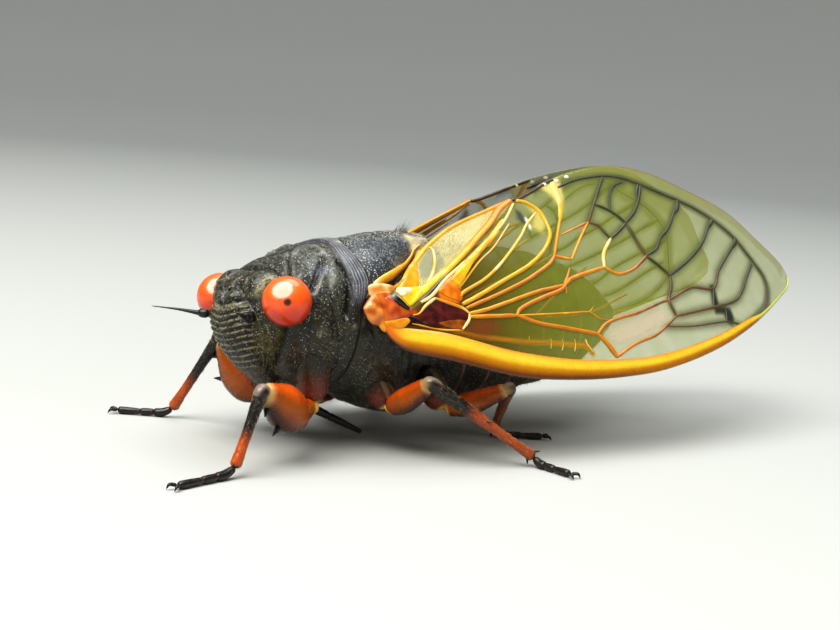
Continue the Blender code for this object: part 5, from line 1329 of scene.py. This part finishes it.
def grown(source, tree, settings):
    """A piece's mesh after a node group has worked on it, as one plain mesh."""
    change = source.modifiers.new(tree.name, "NODES")
    change.node_group = tree
    for key, value in settings.items():
        change[key] = value
    result = applied(source)
    old = source.data
    source.data = result
    bpy.data.meshes.remove(old)
    face_outwards(result)
    return source


def vein_piece(name, veins, inset, hand, material):
    """All the veins of one wing, as tubes along their routes on the membrane."""
    points, edges, paint, radii, outs, flats = [], [], [], [], [], []
    for route, radius_a, radius_b, hue_a, hue_b, flat in veins:
        spots = eased_route(route, VEIN_STEP)
        for k, spot in enumerate(spots):
            share = k / (len(spots) - 1)
            centre, out = wing_sheet(spot, inset), wing_out(spot, inset)
            if k:
                edges.append((len(points) - 1, len(points)))
            centre, out = mirrored((centre, out), hand)
            points.append(centre)
            outs.append(TILT @ out)
            wobble = noise.noise(Vector((spot[0] * 1.7, spot[1] * 1.7, 1.0)))
            end = min(k, len(spots) - 1 - k, 3) / 3
            radius = (radius_a + (radius_b - radius_a) * share) * (1 + 0.12 * wobble) * (0.7 + 0.3 * end) * MM
            flats.append(float(flat))
            hue = min(max(hue_a + (hue_b - hue_a) * ease(share) + 0.35 * wobble, 0.0), 4.0)
            # Pale cream stretches along the paler veins are painted highlights.
            if max(hue_a, hue_b) < 2.6:
                pale = ease((noise.noise(Vector((spot[0] * 0.8, spot[1] * 0.8, 9.0))) - 0.3) / 0.2)
                hue = max(hue - 0.8 * pale, 0.3)
            dull = ease(hue - 3)
            radii.append(radius * (1 - 0.15 * dull))
            paint.append((*vein_hue(hue), 0.34 + 0.3 * dull))
    mesh = plain_mesh(name, points, [], edges)
    mesh.transform(STANCE)
    colour_layer(mesh, "paint", paint)
    vector_layer(mesh, "centre", [tuple(v.co) for v in mesh.vertices])
    vector_layer(mesh, "outward", [tuple(out) for out in outs])
    point_layer(mesh, "radius", radii)
    point_layer(mesh, "flatness", flats)
    settings = {vein_keys["Sides"]: VEIN_SIDES, vein_keys["Material"]: material}
    return grown(in_scene(name, mesh), vein_tree, settings)


def costal_band(hand):
    """The stout lens-shaped band along the front margin, yellow between orange edges."""
    points, paint = [], []
    stations = np.linspace(*BAND_STATIONS)
    for y in stations:
        low, width = smooth_through(FOREWING_BELOW, y), smooth_through(COSTA_WIDTH, y)
        thick = 0.1 + 0.12 * ease((30 - y) / 20)
        for s in range(BAND_SIDES):
            turn = 2 * math.pi * s / BAND_SIDES
            spot = (y, low + 0.02 + width * (0.5 + 0.5 * math.cos(turn)))
            points.append(wing_sheet(spot) + wing_out(spot) * thick * math.sin(turn))
            across = 0.5 + 0.5 * math.cos(turn)
            streak = 0.5 + 0.5 * noise.noise(Vector((y * 0.25, across * 4.0, 2.0)))
            colour = mixed(BAND_OCHRE, mixed(*BAND_YELLOWS, streak), bell(across - 0.64, 0.22))
            colour = mixed(colour, BAND_UNDER, ease((0.48 - across) / 0.2))
            colour = mixed(BAND_ROOT, colour, ease((y - 5.3) / 1.2))
            colour = mixed(colour, BAND_SEAM, ease((0.22 - across) / 0.14) * ease((26 - y) / 8))
            colour = mixed(colour, BAND_EDGE, ease((across - 0.86) / 0.1) * ease((y - 10.5) / 2))
            colour = mixed(colour, BAND_TIP, ease((y - 35.5) / 1.5))
            paint.append((*colour, 0.3))
    for y in (stations[0], stations[-1]):
        points.append(wing_sheet((y, smooth_through(FOREWING_BELOW, y) + smooth_through(COSTA_WIDTH, y) / 2)))
    return mirrored(points, hand), ring_faces(len(stations), BAND_SIDES), paint + paint[:1] * 2


def pillow(outline, lift, hand, tint):
    """A closed puffy pad on the wing's outer face, within a smooth outline."""
    edge = eased_route(outline + outline[:1], 0.08)[:-1]
    middle = sum(edge, Vector((0, 0))) / len(edge)
    points, paint = [], []
    for reach in PAD_REACHES:
        for spot in edge:
            spot = middle + (spot - middle) * reach
            uneven = 1 + 0.3 * noise.noise(Vector((spot.x * 2.2, spot.y * 2.2, 0.0)))
            rise = MEMBRANE_HALF + 0.01 + lift * math.sqrt(1 - reach ** 2) * uneven
            points.append(wing_sheet(spot) + wing_out(spot) * rise)
            paint.append(tint(*spot))
    for rise in (0.0, MEMBRANE_HALF + 0.01 + lift):
        points.append(wing_sheet(middle) + wing_out(middle) * rise)
        paint.append(tint(*middle))
    return mirrored(points, hand), ring_faces(len(PAD_REACHES), len(edge)), paint


def stalk(y_middle, y_half, level, inset, hand, pale):
    """The fleshy hinge between the flank and the wing's inner face."""
    points, paint = [], []
    for step in range(HINGE_STEPS):
        share = step / (HINGE_STEPS - 1)
        for s in range(HINGE_SIDES):
            turn = 2 * math.pi * s / HINGE_SIDES
            swell = 1 - 0.18 * math.sin(math.pi * share)
            y, z = y_middle + y_half * swell * math.cos(turn), level + 0.9 * swell * math.sin(turn)
            outer = wing_sheet((y, (z + 0.5) / WING_RISE), inset).x
            points.append(Vector((HINGE_START + (outer - HINGE_START) * share, y, z)))
            paint.append((*mixed(HINGE_DARK, pale, share), 0.45))
    for x in (HINGE_START, wing_sheet((y_middle, (level + 0.5) / WING_RISE), inset).x):
        points.append(Vector((x, y_middle, level)))
    return mirrored(points, hand), ring_faces(HINGE_STEPS, HINGE_SIDES), paint + paint[:1] * 2


def cord_tint(share, up):
    """The hinge cord: orange and yellow, cream at its front end and dark red beneath."""
    colour = mixed(mixed(*CORD_YELLOWS, ease(up)), CORD_CREAM, ease((0.16 - share) / 0.14))
    return mixed(colour, CORD_UNDER, ease((-0.25 - up) / 0.25)), 0.25


def crease_tint(share, up):
    return mixed(CREASE_GREY, CREASE_BLACK, ease(share / 0.35)), 0.15


def tegula_tint(deep, pale):
    """Mottled translucent cuticle between two colours, at the root of the wing."""
    def tint(y, q):
        mottle = ease(0.5 + 1.1 * noise.noise(Vector((y * 2.2, q * 2.2, 0))))
        return (*mixed(deep, pale, mottle), 0.22)
    return tint


membrane_finish, membrane_shader, membrane_place = new_finish("wing_membrane")
film = membrane_place.node("ShaderNodeAttribute", {"attribute_name": "paint"}, output="Color")
ripple = membrane_place.node("ShaderNodeTexNoise",
                             sockets={"Vector": membrane_place, "Scale": 420.0, "Detail": 4.0,
                                      "Roughness": 0.6})
ripple_bump = membrane_place.node("ShaderNodeBump",
                                  sockets={"Strength": 0.6, "Distance": 0.00015, "Height": ripple})
facing = membrane_place.node("ShaderNodeLayerWeight", sockets={"Blend": 0.3}, output="Facing")
set_sockets(membrane_shader, {"Base Color": film, "Alpha": film.also("Alpha") + facing * 0.1,
                              "Normal": ripple_bump, "Roughness": 0.16,
                              "Coat Weight": 0.5, "Coat Roughness": 0.08})

vein_finish = cuticle("vein_cuticle", 3200.0, 0.15, 1500.0, 0.4, 0.12)
fore_slab = membrane(FOREWING_BELOW, FOREWING_ABOVE, 0.0, forewing_tint)
hind_slab = membrane(HINDWING_BELOW, HINDWING_ABOVE, HINDWING_INSET, hindwing_tint)
# The scale over the wing's root is puffed up in several lobes: outline, lift and its two colours
TEGULA = (
    (((4.02, -0.32), (4.35, 0.05), (4.83, 0.58), (5.02, 0.81), (5.52, 0.78), (5.86, 0.43), (6.32, -0.07),
      (6.8, -0.8), (6.6, -1.2), (5.64, -1.5), (4.75, -1.5), (4.12, -0.81)), 0.22, (0.3, 0.04, 0.004),
     (0.55, 0.14, 0.018)),
    (((4.02, -0.4), (4.4, 0.1), (4.9, 0.5), (5.25, -0.3), (5.3, -1.1), (4.9, -1.5), (4.3, -1.2)), 0.3,
     (0.4, 0.09, 0.008), (0.64, 0.24, 0.05)),
    (((5.3, 0.3), (5.8, 0.3), (6.25, -0.4), (6.2, -1.1), (5.6, -1.3), (5.4, -0.6)), 0.34,
     (0.32, 0.035, 0.004), (0.6, 0.13, 0.025)),
    (((4.55, 0.45), (4.6, 1.0), (5.1, 1.15), (6.0, 1.0), (6.35, 0.75), (5.8, 0.35), (5.3, 0.2), (4.9, 0.15)),
     0.16, (0.56, 0.2, 0.035), (0.76, 0.48, 0.2)),
    (((4.7, -1.2), (5.6, -1.15), (6.5, -1.1), (6.7, -1.4), (5.9, -1.9), (5.1, -1.9)), 0.2,
     (0.55, 0.16, 0.006), (0.62, 0.28, 0.01)),
    # The flattened roots of the veins behind it, yellow, cream, orange and red, and the dark closed cell
    (((6.94, -0.43), (6.63, 0.09), (6.37, 0.53), (6.58, 0.78), (8.09, 0.84), (8.86, 1.04), (9.79, 1.45),
      (10.83, 1.92), (10.01, 1.25), (8.93, 0.57), (7.98, 0.09), (7.17, -0.36)), 0.16, (0.66, 0.38, 0.005),
     (0.78, 0.56, 0.03)),
    (((6.3, 0.5), (6.5, 0.8), (7.5, 0.86), (7.7, 0.6), (7.1, 0.3), (6.6, 0.2)), 0.17, (0.74, 0.6, 0.28),
     (0.84, 0.78, 0.55)),
    (((6.1, 0.8), (7.26, 1.4), (9.22, 2.95), (10.14, 3.98), (10.62, 4.31), (9.46, 2.83), (8.13, 0.9),
      (6.59, 0.76)), 0.12, (0.68, 0.27, 0.004), (0.74, 0.36, 0.008)),
    (((9.19, 0.36), (9.85, -0.1), (10.63, -0.4), (10.96, 0.0), (10.84, 0.4), (11.3, 0.8), (11.0, 1.3),
      (10.4, 1.1)), 0.1, (0.5, 0.1, 0.004), (0.64, 0.24, 0.005)),
    (((10.3, 0.85), (11.89, 2.01), (14.11, 3.3), (15.51, 4.05), (15.77, 3.91), (13.81, 2.66), (12.17, 1.55),
      (11.3, 0.75), (10.7, 0.45)), 0.2, (0.66, 0.26, 0.004), (0.74, 0.45, 0.02)),
    (((6.86, -1.08), (7.14, -0.97), (7.69, -0.62), (8.92, -0.12), (9.84, -0.38), (10.59, -0.84),
      (10.94, -1.25), (10.68, -1.7), (9.98, -2.18), (8.74, -1.86), (7.71, -1.54)), 0.05,
     (0.03, 0.003, 0.003), (0.09, 0.012, 0.008)),
    (((8.3, -1.6), (9.1, -1.42), (10.2, -1.5), (10.6, -1.72), (9.98, -2.12), (8.95, -1.9)), 0.06,
     (0.13, 0.025, 0.002), (0.3, 0.085, 0.004)),
    (((6.2, -0.95), (6.88, -1.04), (7.71, -1.54), (8.62, -1.95), (7.97, -1.87), (7.01, -1.47), (6.2, -1.3)),
     0.06, (0.008, 0.003, 0.002), (0.03, 0.008, 0.004)),
)
# Small pale cream beads on the front margin stand for glints: painted highlights.
TOP_GLINT_BEADS = ((21.43, 7.25), (22.63, 7.5), (23.7, 7.78))
for side, hand in (("L", 1), ("R", -1)):
    for label, slab in (("forewing", fore_slab), ("hindwing", hind_slab)):
        sheet = skin_object(label + "_membrane_" + side, mirrored(slab[0], hand), slab[1], slab[2])
        sheet.data.materials.append(membrane_finish)
        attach(sheet, "root")
        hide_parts(label + "_" + side)
    glint_beads = []
    for spot in mirrored([wing_sheet(spot) for spot in TOP_GLINT_BEADS], hand):
        bead_points, bead_faces = ball_mesh(spot, (0.13, 0.2, 0.13), 10, 14)
        glint_beads.append((bead_points, bead_faces, [GLINT_BEAD_CREAM] * len(bead_points)))
    crease = mirrored([wing_sheet(spot) + wing_out(spot) * 0.2 for spot in SCALE_CREASE], hand)
    frame_parts = gathered("wing_band_" + side, [
        costal_band(hand),
        *(pillow(outline, lift, hand, tegula_tint(deep, pale)) for outline, lift, deep, pale in TEGULA),
        limb(mirrored(SHOULDER_LINE, hand), CORD_RADII, 70, 20, 0.5, cord_tint),
        *glint_beads,
        stalk(6.8, 1.2, -1.2, 0.0, hand, HINGE_PALE["fore"]),
        stalk(10.0, 0.8, -0.7, HINDWING_INSET, hand, HINGE_PALE["hind"]),
        limb(crease, (0.22, 0.19, 0.07), 24, 18, 1.0, crease_tint),
    ])
    frame_parts.data.materials.append(vein_finish)
    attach(frame_parts, "root")
    for label, veins, inset in (("forewing", forewing_veins, 0.0),
                                ("hindwing", HINDWING_VEINS, HINDWING_INSET)):
        netting = vein_piece(label + "_veins_" + side, veins, inset, hand, vein_finish)
        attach(netting, "root")

# Fine hairs: a short pale down lies over the whole body, shortest on the face, silvery on the back,
# longer and shaggier round the eyes, under the wings and on the belly, and bristly on the shins.
HAIR_SILVER = (0.42, 0.43, 0.4)
HAIR_GOLD = (0.4, 0.34, 0.13)
HAIR_CREAM = (0.72, 0.64, 0.42)
HAIR_GREY = (0.2, 0.2, 0.14)
HAIR_BLACK = (0.02, 0.02, 0.016)
TUFT_PATCH = 0.003
HAIR_SIDES = 3
HAIR_JOINTS = 2
# The noise that turns each hair's lie draws its offsets from a seed, and from the clock without one
SWIRL_SEED = 16
noise.seed_set(SWIRL_SEED)
PER_SQUARE_MM = 1e6
HAIR_THICKNESS = 0.0085
WING_HAIR_THICKNESS = 0.009
SHIN_GOLD = (0.5, 0.36, 0.14)
SHIELD_TUFT = Vector((0.0, 10.7, 3.5))
hair_finish, hair_shader, hair_place = new_finish("fine_hair")
hair_colour = hair_place.node("ShaderNodeAttribute", {"attribute_name": "down_paint"}, output="Color")
set_sockets(hair_shader, {"Base Color": hair_colour, "Roughness": 0.4, "Specular IOR Level": 0.7})

coat_tree, coat_in, coat_keys = group_wires("lying_down", (
    ("Geometry", "NodeSocketGeometry"), ("Thickness", "NodeSocketFloat"), ("Lift", "NodeSocketFloat"),
    ("Seed", "NodeSocketInt"), ("Material", "NodeSocketMaterial")))
skin_wire = coat_in["Geometry"]
per_area = skin_wire.node("GeometryNodeInputNamedAttribute", {"data_type": "FLOAT"}, {"Name": "down_density"})
roots = skin_wire.node("GeometryNodeDistributePointsOnFaces", {"distribute_method": "RANDOM"},
                       {"Mesh": skin_wire, "Density": per_area, "Seed": coat_in["Seed"]})
skin_normal = roots.also("Normal")
lie = skin_wire.node("GeometryNodeInputNamedAttribute", {"data_type": "FLOAT_VECTOR"}, {"Name": "down_lie"})
reach = skin_wire.node("GeometryNodeInputNamedAttribute", {"data_type": "FLOAT"}, {"Name": "down_length"})
stray = skin_wire.node("FunctionNodeRandomValue", {"data_type": "FLOAT_VECTOR"},
                       {"Min": (-0.35, -0.35, -0.35), "Max": (0.35, 0.35, 0.35), "Seed": coat_in["Seed"]})
rising = skin_wire.node("ShaderNodeVectorMath", {"operation": "SCALE"},
                        {0: skin_normal, "Scale": coat_in["Lift"]})
leaning = skin_wire.node("ShaderNodeVectorMath", {"operation": "ADD"}, {0: lie, 1: rising})
pointing = skin_wire.node("ShaderNodeVectorMath", {"operation": "ADD"}, {0: leaning, 1: stray})
turned = skin_wire.node("FunctionNodeAxesToRotation", {"primary_axis": "Z", "secondary_axis": "X"},
                        {"Primary Axis": pointing, "Secondary Axis": skin_normal})
uneven = skin_wire.node("FunctionNodeRandomValue", {"data_type": "FLOAT"},
                        {2: 0.55, 3: 1.25, "Seed": coat_in["Seed"]}, output=1)
size = skin_wire.node("ShaderNodeCombineXYZ",
                      sockets={"X": coat_in["Thickness"], "Y": coat_in["Thickness"], "Z": reach * uneven})
cone = skin_wire.node("GeometryNodeMeshCone", {"fill_type": "NGON"},
                      {"Vertices": HAIR_SIDES, "Side Segments": HAIR_JOINTS, "Radius Top": 0.0,
                       "Radius Bottom": 1.0, "Depth": 1.0})
mapped = skin_wire.node("GeometryNodeStoreNamedAttribute", {"data_type": "FLOAT2", "domain": "CORNER"},
                        {"Geometry": cone, "Name": "tuft", "Value": cone.also("UV Map")})
spot = skin_wire.node("GeometryNodeInputPosition")
along = skin_wire.node("ShaderNodeSeparateXYZ", sockets={"Vector": spot}, output="Z")
droop = skin_wire.node("ShaderNodeCombineXYZ", sockets={"X": along * along * -4.0})
bent = skin_wire.node("GeometryNodeSetPosition", sockets={"Geometry": mapped, "Offset": droop})
hairs = skin_wire.node("GeometryNodeInstanceOnPoints",
                       sockets={"Points": roots, "Instance": bent, "Rotation": turned, "Scale": size})
close_group(coat_tree, hairs, coat_in["Material"])


def coat(name, skin, down, unwrap, thickness, lift, seed):
    """Fine hairs grown from a skin, by each point's density (a square mm), length, colour and lie."""
    mesh = skin.data.copy()
    density, length, colour, lie = zip(*down)
    point_layer(mesh, "down_density", [d * PER_SQUARE_MM for d in density])
    point_layer(mesh, "down_length", [one * MM for one in length])
    colour_layer(mesh, "down_paint", [(*one, 1.0) for one in colour])
    vector_layer(mesh, "down_lie", [tuple(TILT @ one) for one in lie])
    vector_layer(mesh, "unwrap", unwrap)
    mesh.materials.clear()
    settings = {"Thickness": thickness * MM, "Lift": lift, "Seed": seed, "Material": hair_finish}
    piece = grown(in_scene(name, mesh), coat_tree,
                  {coat_keys[label]: value for label, value in settings.items()})
    mesh = piece.data
    roots = np.zeros(len(mesh.vertices) * 3)
    mesh.attributes["unwrap"].data.foreach_get("vector", roots)
    corners = np.zeros(len(mesh.loops), int)
    mesh.loops.foreach_get("vertex_index", corners)
    tuft = np.zeros(len(mesh.loops) * 2)
    mesh.uv_layers["tuft"].data.foreach_get("uv", tuft)
    places = roots.reshape(-1, 3)[corners, :2] + tuft.reshape(-1, 2) * TUFT_PATCH
    mesh.uv_layers.remove(mesh.uv_layers["tuft"])
    mesh.uv_layers.new(name="OFBake").data.foreach_set("uv", places.ravel())
    for spare in ("down_density", "down_length", "down_lie", "unwrap", "paint"):
        if spare in mesh.attributes:
            mesh.attributes.remove(mesh.attributes[spare])
    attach(piece, "root")
    return piece


def trunk_down(p):
    """Density, length, colour and lie of the trunk's hairs at a place."""
    to_collar, to_waist = p.y - collar_seam(p.z), p.y - waist_seam(p.z)
    upper = ease((p.z - smooth_through(WAIST_LINE, p.y)) / 1.5)
    patchy = 0.75 + 0.9 * noise.noise(p * 1.3)
    swirl = noise.noise_vector(p * 0.8) * 0.6
    lie = Vector((0.25 * math.copysign(1, p.x) * upper, 1.0, -0.6 + 0.4 * upper)) + swirl
    if p.y < smooth_through(COLLAR_FRONT, p.z):
        colour = mixed(HAIR_GREY, HAIR_GOLD, 0.45 * upper + 0.25 * patchy)
        return 34 * patchy, 0.13 + 0.16 * (1 - upper), colour, lie
    if to_collar < 0:
        return 7.0, 0.1, mixed(HAIR_GREY, HAIR_SILVER, upper), lie
    if to_waist < 0:
        ridge = ease((p.z - 2.9) / 0.3) * ease((p.y - 5.5) / 1.5)
        colour = mixed(mixed(HAIR_GREY, HAIR_SILVER, upper), HAIR_CREAM, 0.5 * ridge)
        shield = ease((p.y - 10.5) / 0.3) * upper * ease((2.4 - abs(p.x)) / 0.4)
        tuft = bell((p - SHIELD_TUFT).length, 0.6)
        lie += Vector((0.0, 0.0, 1.6)) * tuft
        colour = mixed(mixed(colour, HAIR_CREAM, shield), HAIR_BLACK, tuft * 1.2)
        length = 0.3 - 0.2 * upper + 0.1 * ridge + 0.22 * shield + 0.45 * tuft
        return (20 + 22 * upper + 14 * ridge + 20 * shield + 150 * tuft) * patchy, length, colour, lie
    colour = mixed(HAIR_GREY, HAIR_SILVER, upper)
    return (10 + 8 * (1 - upper)) * patchy, 0.16 + 0.14 * (1 - upper), colour, lie


def head_down(p):
    near_eye = min((p - Vector((side * EYE_SPREAD, 0, 0))).length for side in (1, -1)) - EYE_RADIUS
    width = face_half_width(p.z)
    on_face = ease((width - abs(p.x)) / 0.3) * ease((-0.6 - p.y) / 0.5) * ease((-0.1 - p.z) / 0.3)
    brow = bell(near_eye - 0.25, 0.25) * ease((p.z - 0.3) / 0.5)
    colour = mixed(mixed(HAIR_GREY, HAIR_GOLD, 0.6 + 0.6 * noise.noise(p * 2.0)), HAIR_CREAM, brow)
    density = (42 * (1 - on_face) + 14 * on_face + 50 * brow) * (0.8 + 0.6 * noise.noise(p * 1.7))
    cheek = ease((-1.5 - p.z) / 1.0) * (1 - on_face)
    length = 0.15 * (1 - on_face) + 0.07 * on_face + 0.14 * brow + 0.2 * cheek
    sideways, onward, down = (0.5, -0.35, -0.8) if p.z < 0.6 else (0.3, -0.9, 0.2)
    lie = Vector((math.copysign(sideways, p.x), onward, down))
    return density, length, colour, lie + noise.noise_vector(p * 1.1) * 0.6


coat("trunk_hairs", trunk, [trunk_down(p) for p in trunk_points], trunk_unwrap, HAIR_THICKNESS, 0.4, 11)
head_unwrap = [(0.5 + 0.45 * math.atan2(p.x, -p.y - 0.3) / math.pi, 0.5 + 0.08 * p.z, 0.0)
               for p in head_points]
coat("head_hairs", head, [head_down(p) for p in head_points], head_unwrap, HAIR_THICKNESS, 0.45, 12)

numbered_parts = [(k, part) for parts in leg_parts for k, part in enumerate(parts)]
leg_source = gathered("leg_source", [part for _, part in numbered_parts])
leg_rows, leg_unwrap = [], []
for number, (part_index, part) in enumerate(numbered_parts):
    density, length = LEG_DOWN.get(part_index, (0, 0.1))
    for (ahead, share, around), paint, place in zip(part[3], part[2], part[0]):
        clear = ease(((STANCE @ place).z / MM - 0.15) / 0.2)
        colour = mixed(HAIR_GREY, SHIN_GOLD, 0.9 if paint[0] + paint[1] > 0.15 else 0.35)
        leg_rows.append((density * ease(share / 0.1) * clear, length, colour, ahead + Vector((0, 0, -0.15))))
        column, row = number % 10, number // 10
        leg_unwrap.append(((column + 0.05 + 0.9 * share) / 10, (row + 0.05 + 0.9 * around) / 10, 0.0))
coat("leg_hairs", leg_source, leg_rows, leg_unwrap, HAIR_THICKNESS, 0.55, 13)
leg_blank = leg_source.data
bpy.data.objects.remove(leg_source)
bpy.data.meshes.remove(leg_blank)

SILKY = vectors(((12.1, 4.6), (13.1, 4.4), (12.8, 2.9), (11.5, 2.2), (10.7, 1.9), (10.9, 3.4)))
for side, hand, seed in (("L", 1, 14), ("R", -1, 15)):
    rows = []
    for y, q in fore_slab[3]:
        silk = ease(0.5 + within(Vector((y, q)), SILKY) / 0.5) if 10 < y < 14 else 0.0
        root = ease((7.6 - y) / 1.2) * ease((q + 0.9) / 0.5) * 0.35
        along = mirrored([wing_sheet((y + 0.8, q + 0.7)) - wing_sheet((y, q))], hand)[0]
        lie = along + noise.noise_vector(Vector((y, q, 0)) * 1.5) * 0.7
        rows.append((16 * silk + 10 * root, 0.75 * silk + 0.25, HAIR_CREAM, lie))
    wing_unwrap = [(y / 43, (q + 7) / 16, 0.0) for y, q in fore_slab[3]]
    sheet = bpy.data.objects["forewing_membrane_" + side]
    coat("wing_hairs_" + side, sheet, rows, wing_unwrap, WING_HAIR_THICKNESS, 0.5, seed)

# Floor, light and camera: the camera stands where the photograph's did, worked out from the eyes, the
# collar, the wing and the feet, and looks at the insect's left front.
CAMERA_AT = Vector((78.57, -49.55, 6.40))
CAMERA_RIGHT = Vector((0.61868, 0.78509, -0.02957))
CAMERA_UP = Vector((-0.04615, 0.07388, 0.99620))
CAMERA_BACK = Vector((0.78429, -0.61496, 0.08194))
FOCAL_PIXELS = 1627.0
PHOTO_WIDTH = 840
camera_data = bpy.data.cameras.new("camera")
camera_data.sensor_width = 36.0
camera_data.lens = FOCAL_PIXELS * camera_data.sensor_width / PHOTO_WIDTH
camera_data.clip_start = 0.002
camera_data.clip_end = 20.0
camera = in_scene("camera", camera_data)
turn = TILT @ Matrix((CAMERA_RIGHT, CAMERA_UP, CAMERA_BACK)).transposed()
camera.matrix_world = Matrix.Translation(STANCE @ CAMERA_AT) @ turn.to_4x4()
bpy.context.scene.camera = camera

BOWL_PROFILE = ((0.0, 0.0), (0.15, 0.0), (0.3, 0.0), (0.36, 0.008), (0.42, 0.03), (0.47, 0.07), (0.51, 0.12),
                (0.54, 0.2), (0.55, 0.3), (0.55, 0.6))
BOWL_SIDES = 96
bowl_points, bowl_faces = [Vector((0, 0, 0))], []
for radius, rise in BOWL_PROFILE[1:]:
    for s in range(BOWL_SIDES):
        turn = 2 * math.pi * s / BOWL_SIDES
        bowl_points.append(Vector((radius * math.cos(turn), radius * math.sin(turn), rise)))
for s in range(BOWL_SIDES):
    n = (s + 1) % BOWL_SIDES
    bowl_faces.append((0, 1 + s, 1 + n))
    for r in range(len(BOWL_PROFILE) - 2):
        a, b = 1 + r * BOWL_SIDES, 1 + (r + 1) * BOWL_SIDES
        bowl_faces.append((a + s, b + s, b + n, a + n))
floor_mesh = plain_mesh("floor", bowl_points, bowl_faces)
floor_mesh.shade_smooth()
floor = in_scene("floor", floor_mesh)
floor_finish, floor_shader = new_finish("pale_floor")[:2]
set_sockets(floor_shader, {"Base Color": (0.44, 0.45, 0.43, 1.0), "Roughness": 0.75,
                           "Specular IOR Level": 0.2})
floor_mesh.materials.append(floor_finish)


BODY_HEIGHT = 0.008


def area_light(name, spot, size, power, colour):
    """A soft lamp turned to the insect's body."""
    light = bpy.data.lights.new(name, "AREA")
    light.shape = "ELLIPSE"
    light.size, light.size_y = size
    light.energy = power
    light.color = colour
    lamp = in_scene(name, light)
    lamp.location = spot
    lamp.rotation_euler = (Vector((0, 0, BODY_HEIGHT)) - Vector(spot)).to_track_quat("-Z", "Y").to_euler()
    return lamp


area_light("key", (0.03, -0.13, 0.21), (0.24, 0.2), 1.0, (1.0, 0.98, 0.94))
area_light("sky", (-0.06, 0.1, 0.34), (0.3, 0.3), 0.72, (0.95, 0.98, 1.0))
glint = area_light("glint", (0.03, -0.13, 0.21), (0.42, 0.4), 5.0, (1.0, 0.96, 0.96))
glint.visible_diffuse = False
only_eyes = bpy.data.collections.new("only_eyes")
for side in "LR":
    only_eyes.objects.link(bpy.data.objects["eye_dome_" + side])
glint.light_linking.receiver_collection = only_eyes
area_light("fill", (0.3, 0.08, 0.1), (0.16, 0.12), 0.2, (1.0, 1.0, 1.0)).visible_glossy = False
world = bpy.data.worlds.new("studio")
bpy.context.scene.world = world
world.use_nodes = True
set_sockets(world.node_tree.nodes["Background"], {"Color": (0.92, 0.95, 1.0, 1.0), "Strength": 0.3})
bpy.context.scene.view_settings.view_transform = "Standard"
bpy.context.scene.view_settings.look = "Medium High Contrast"
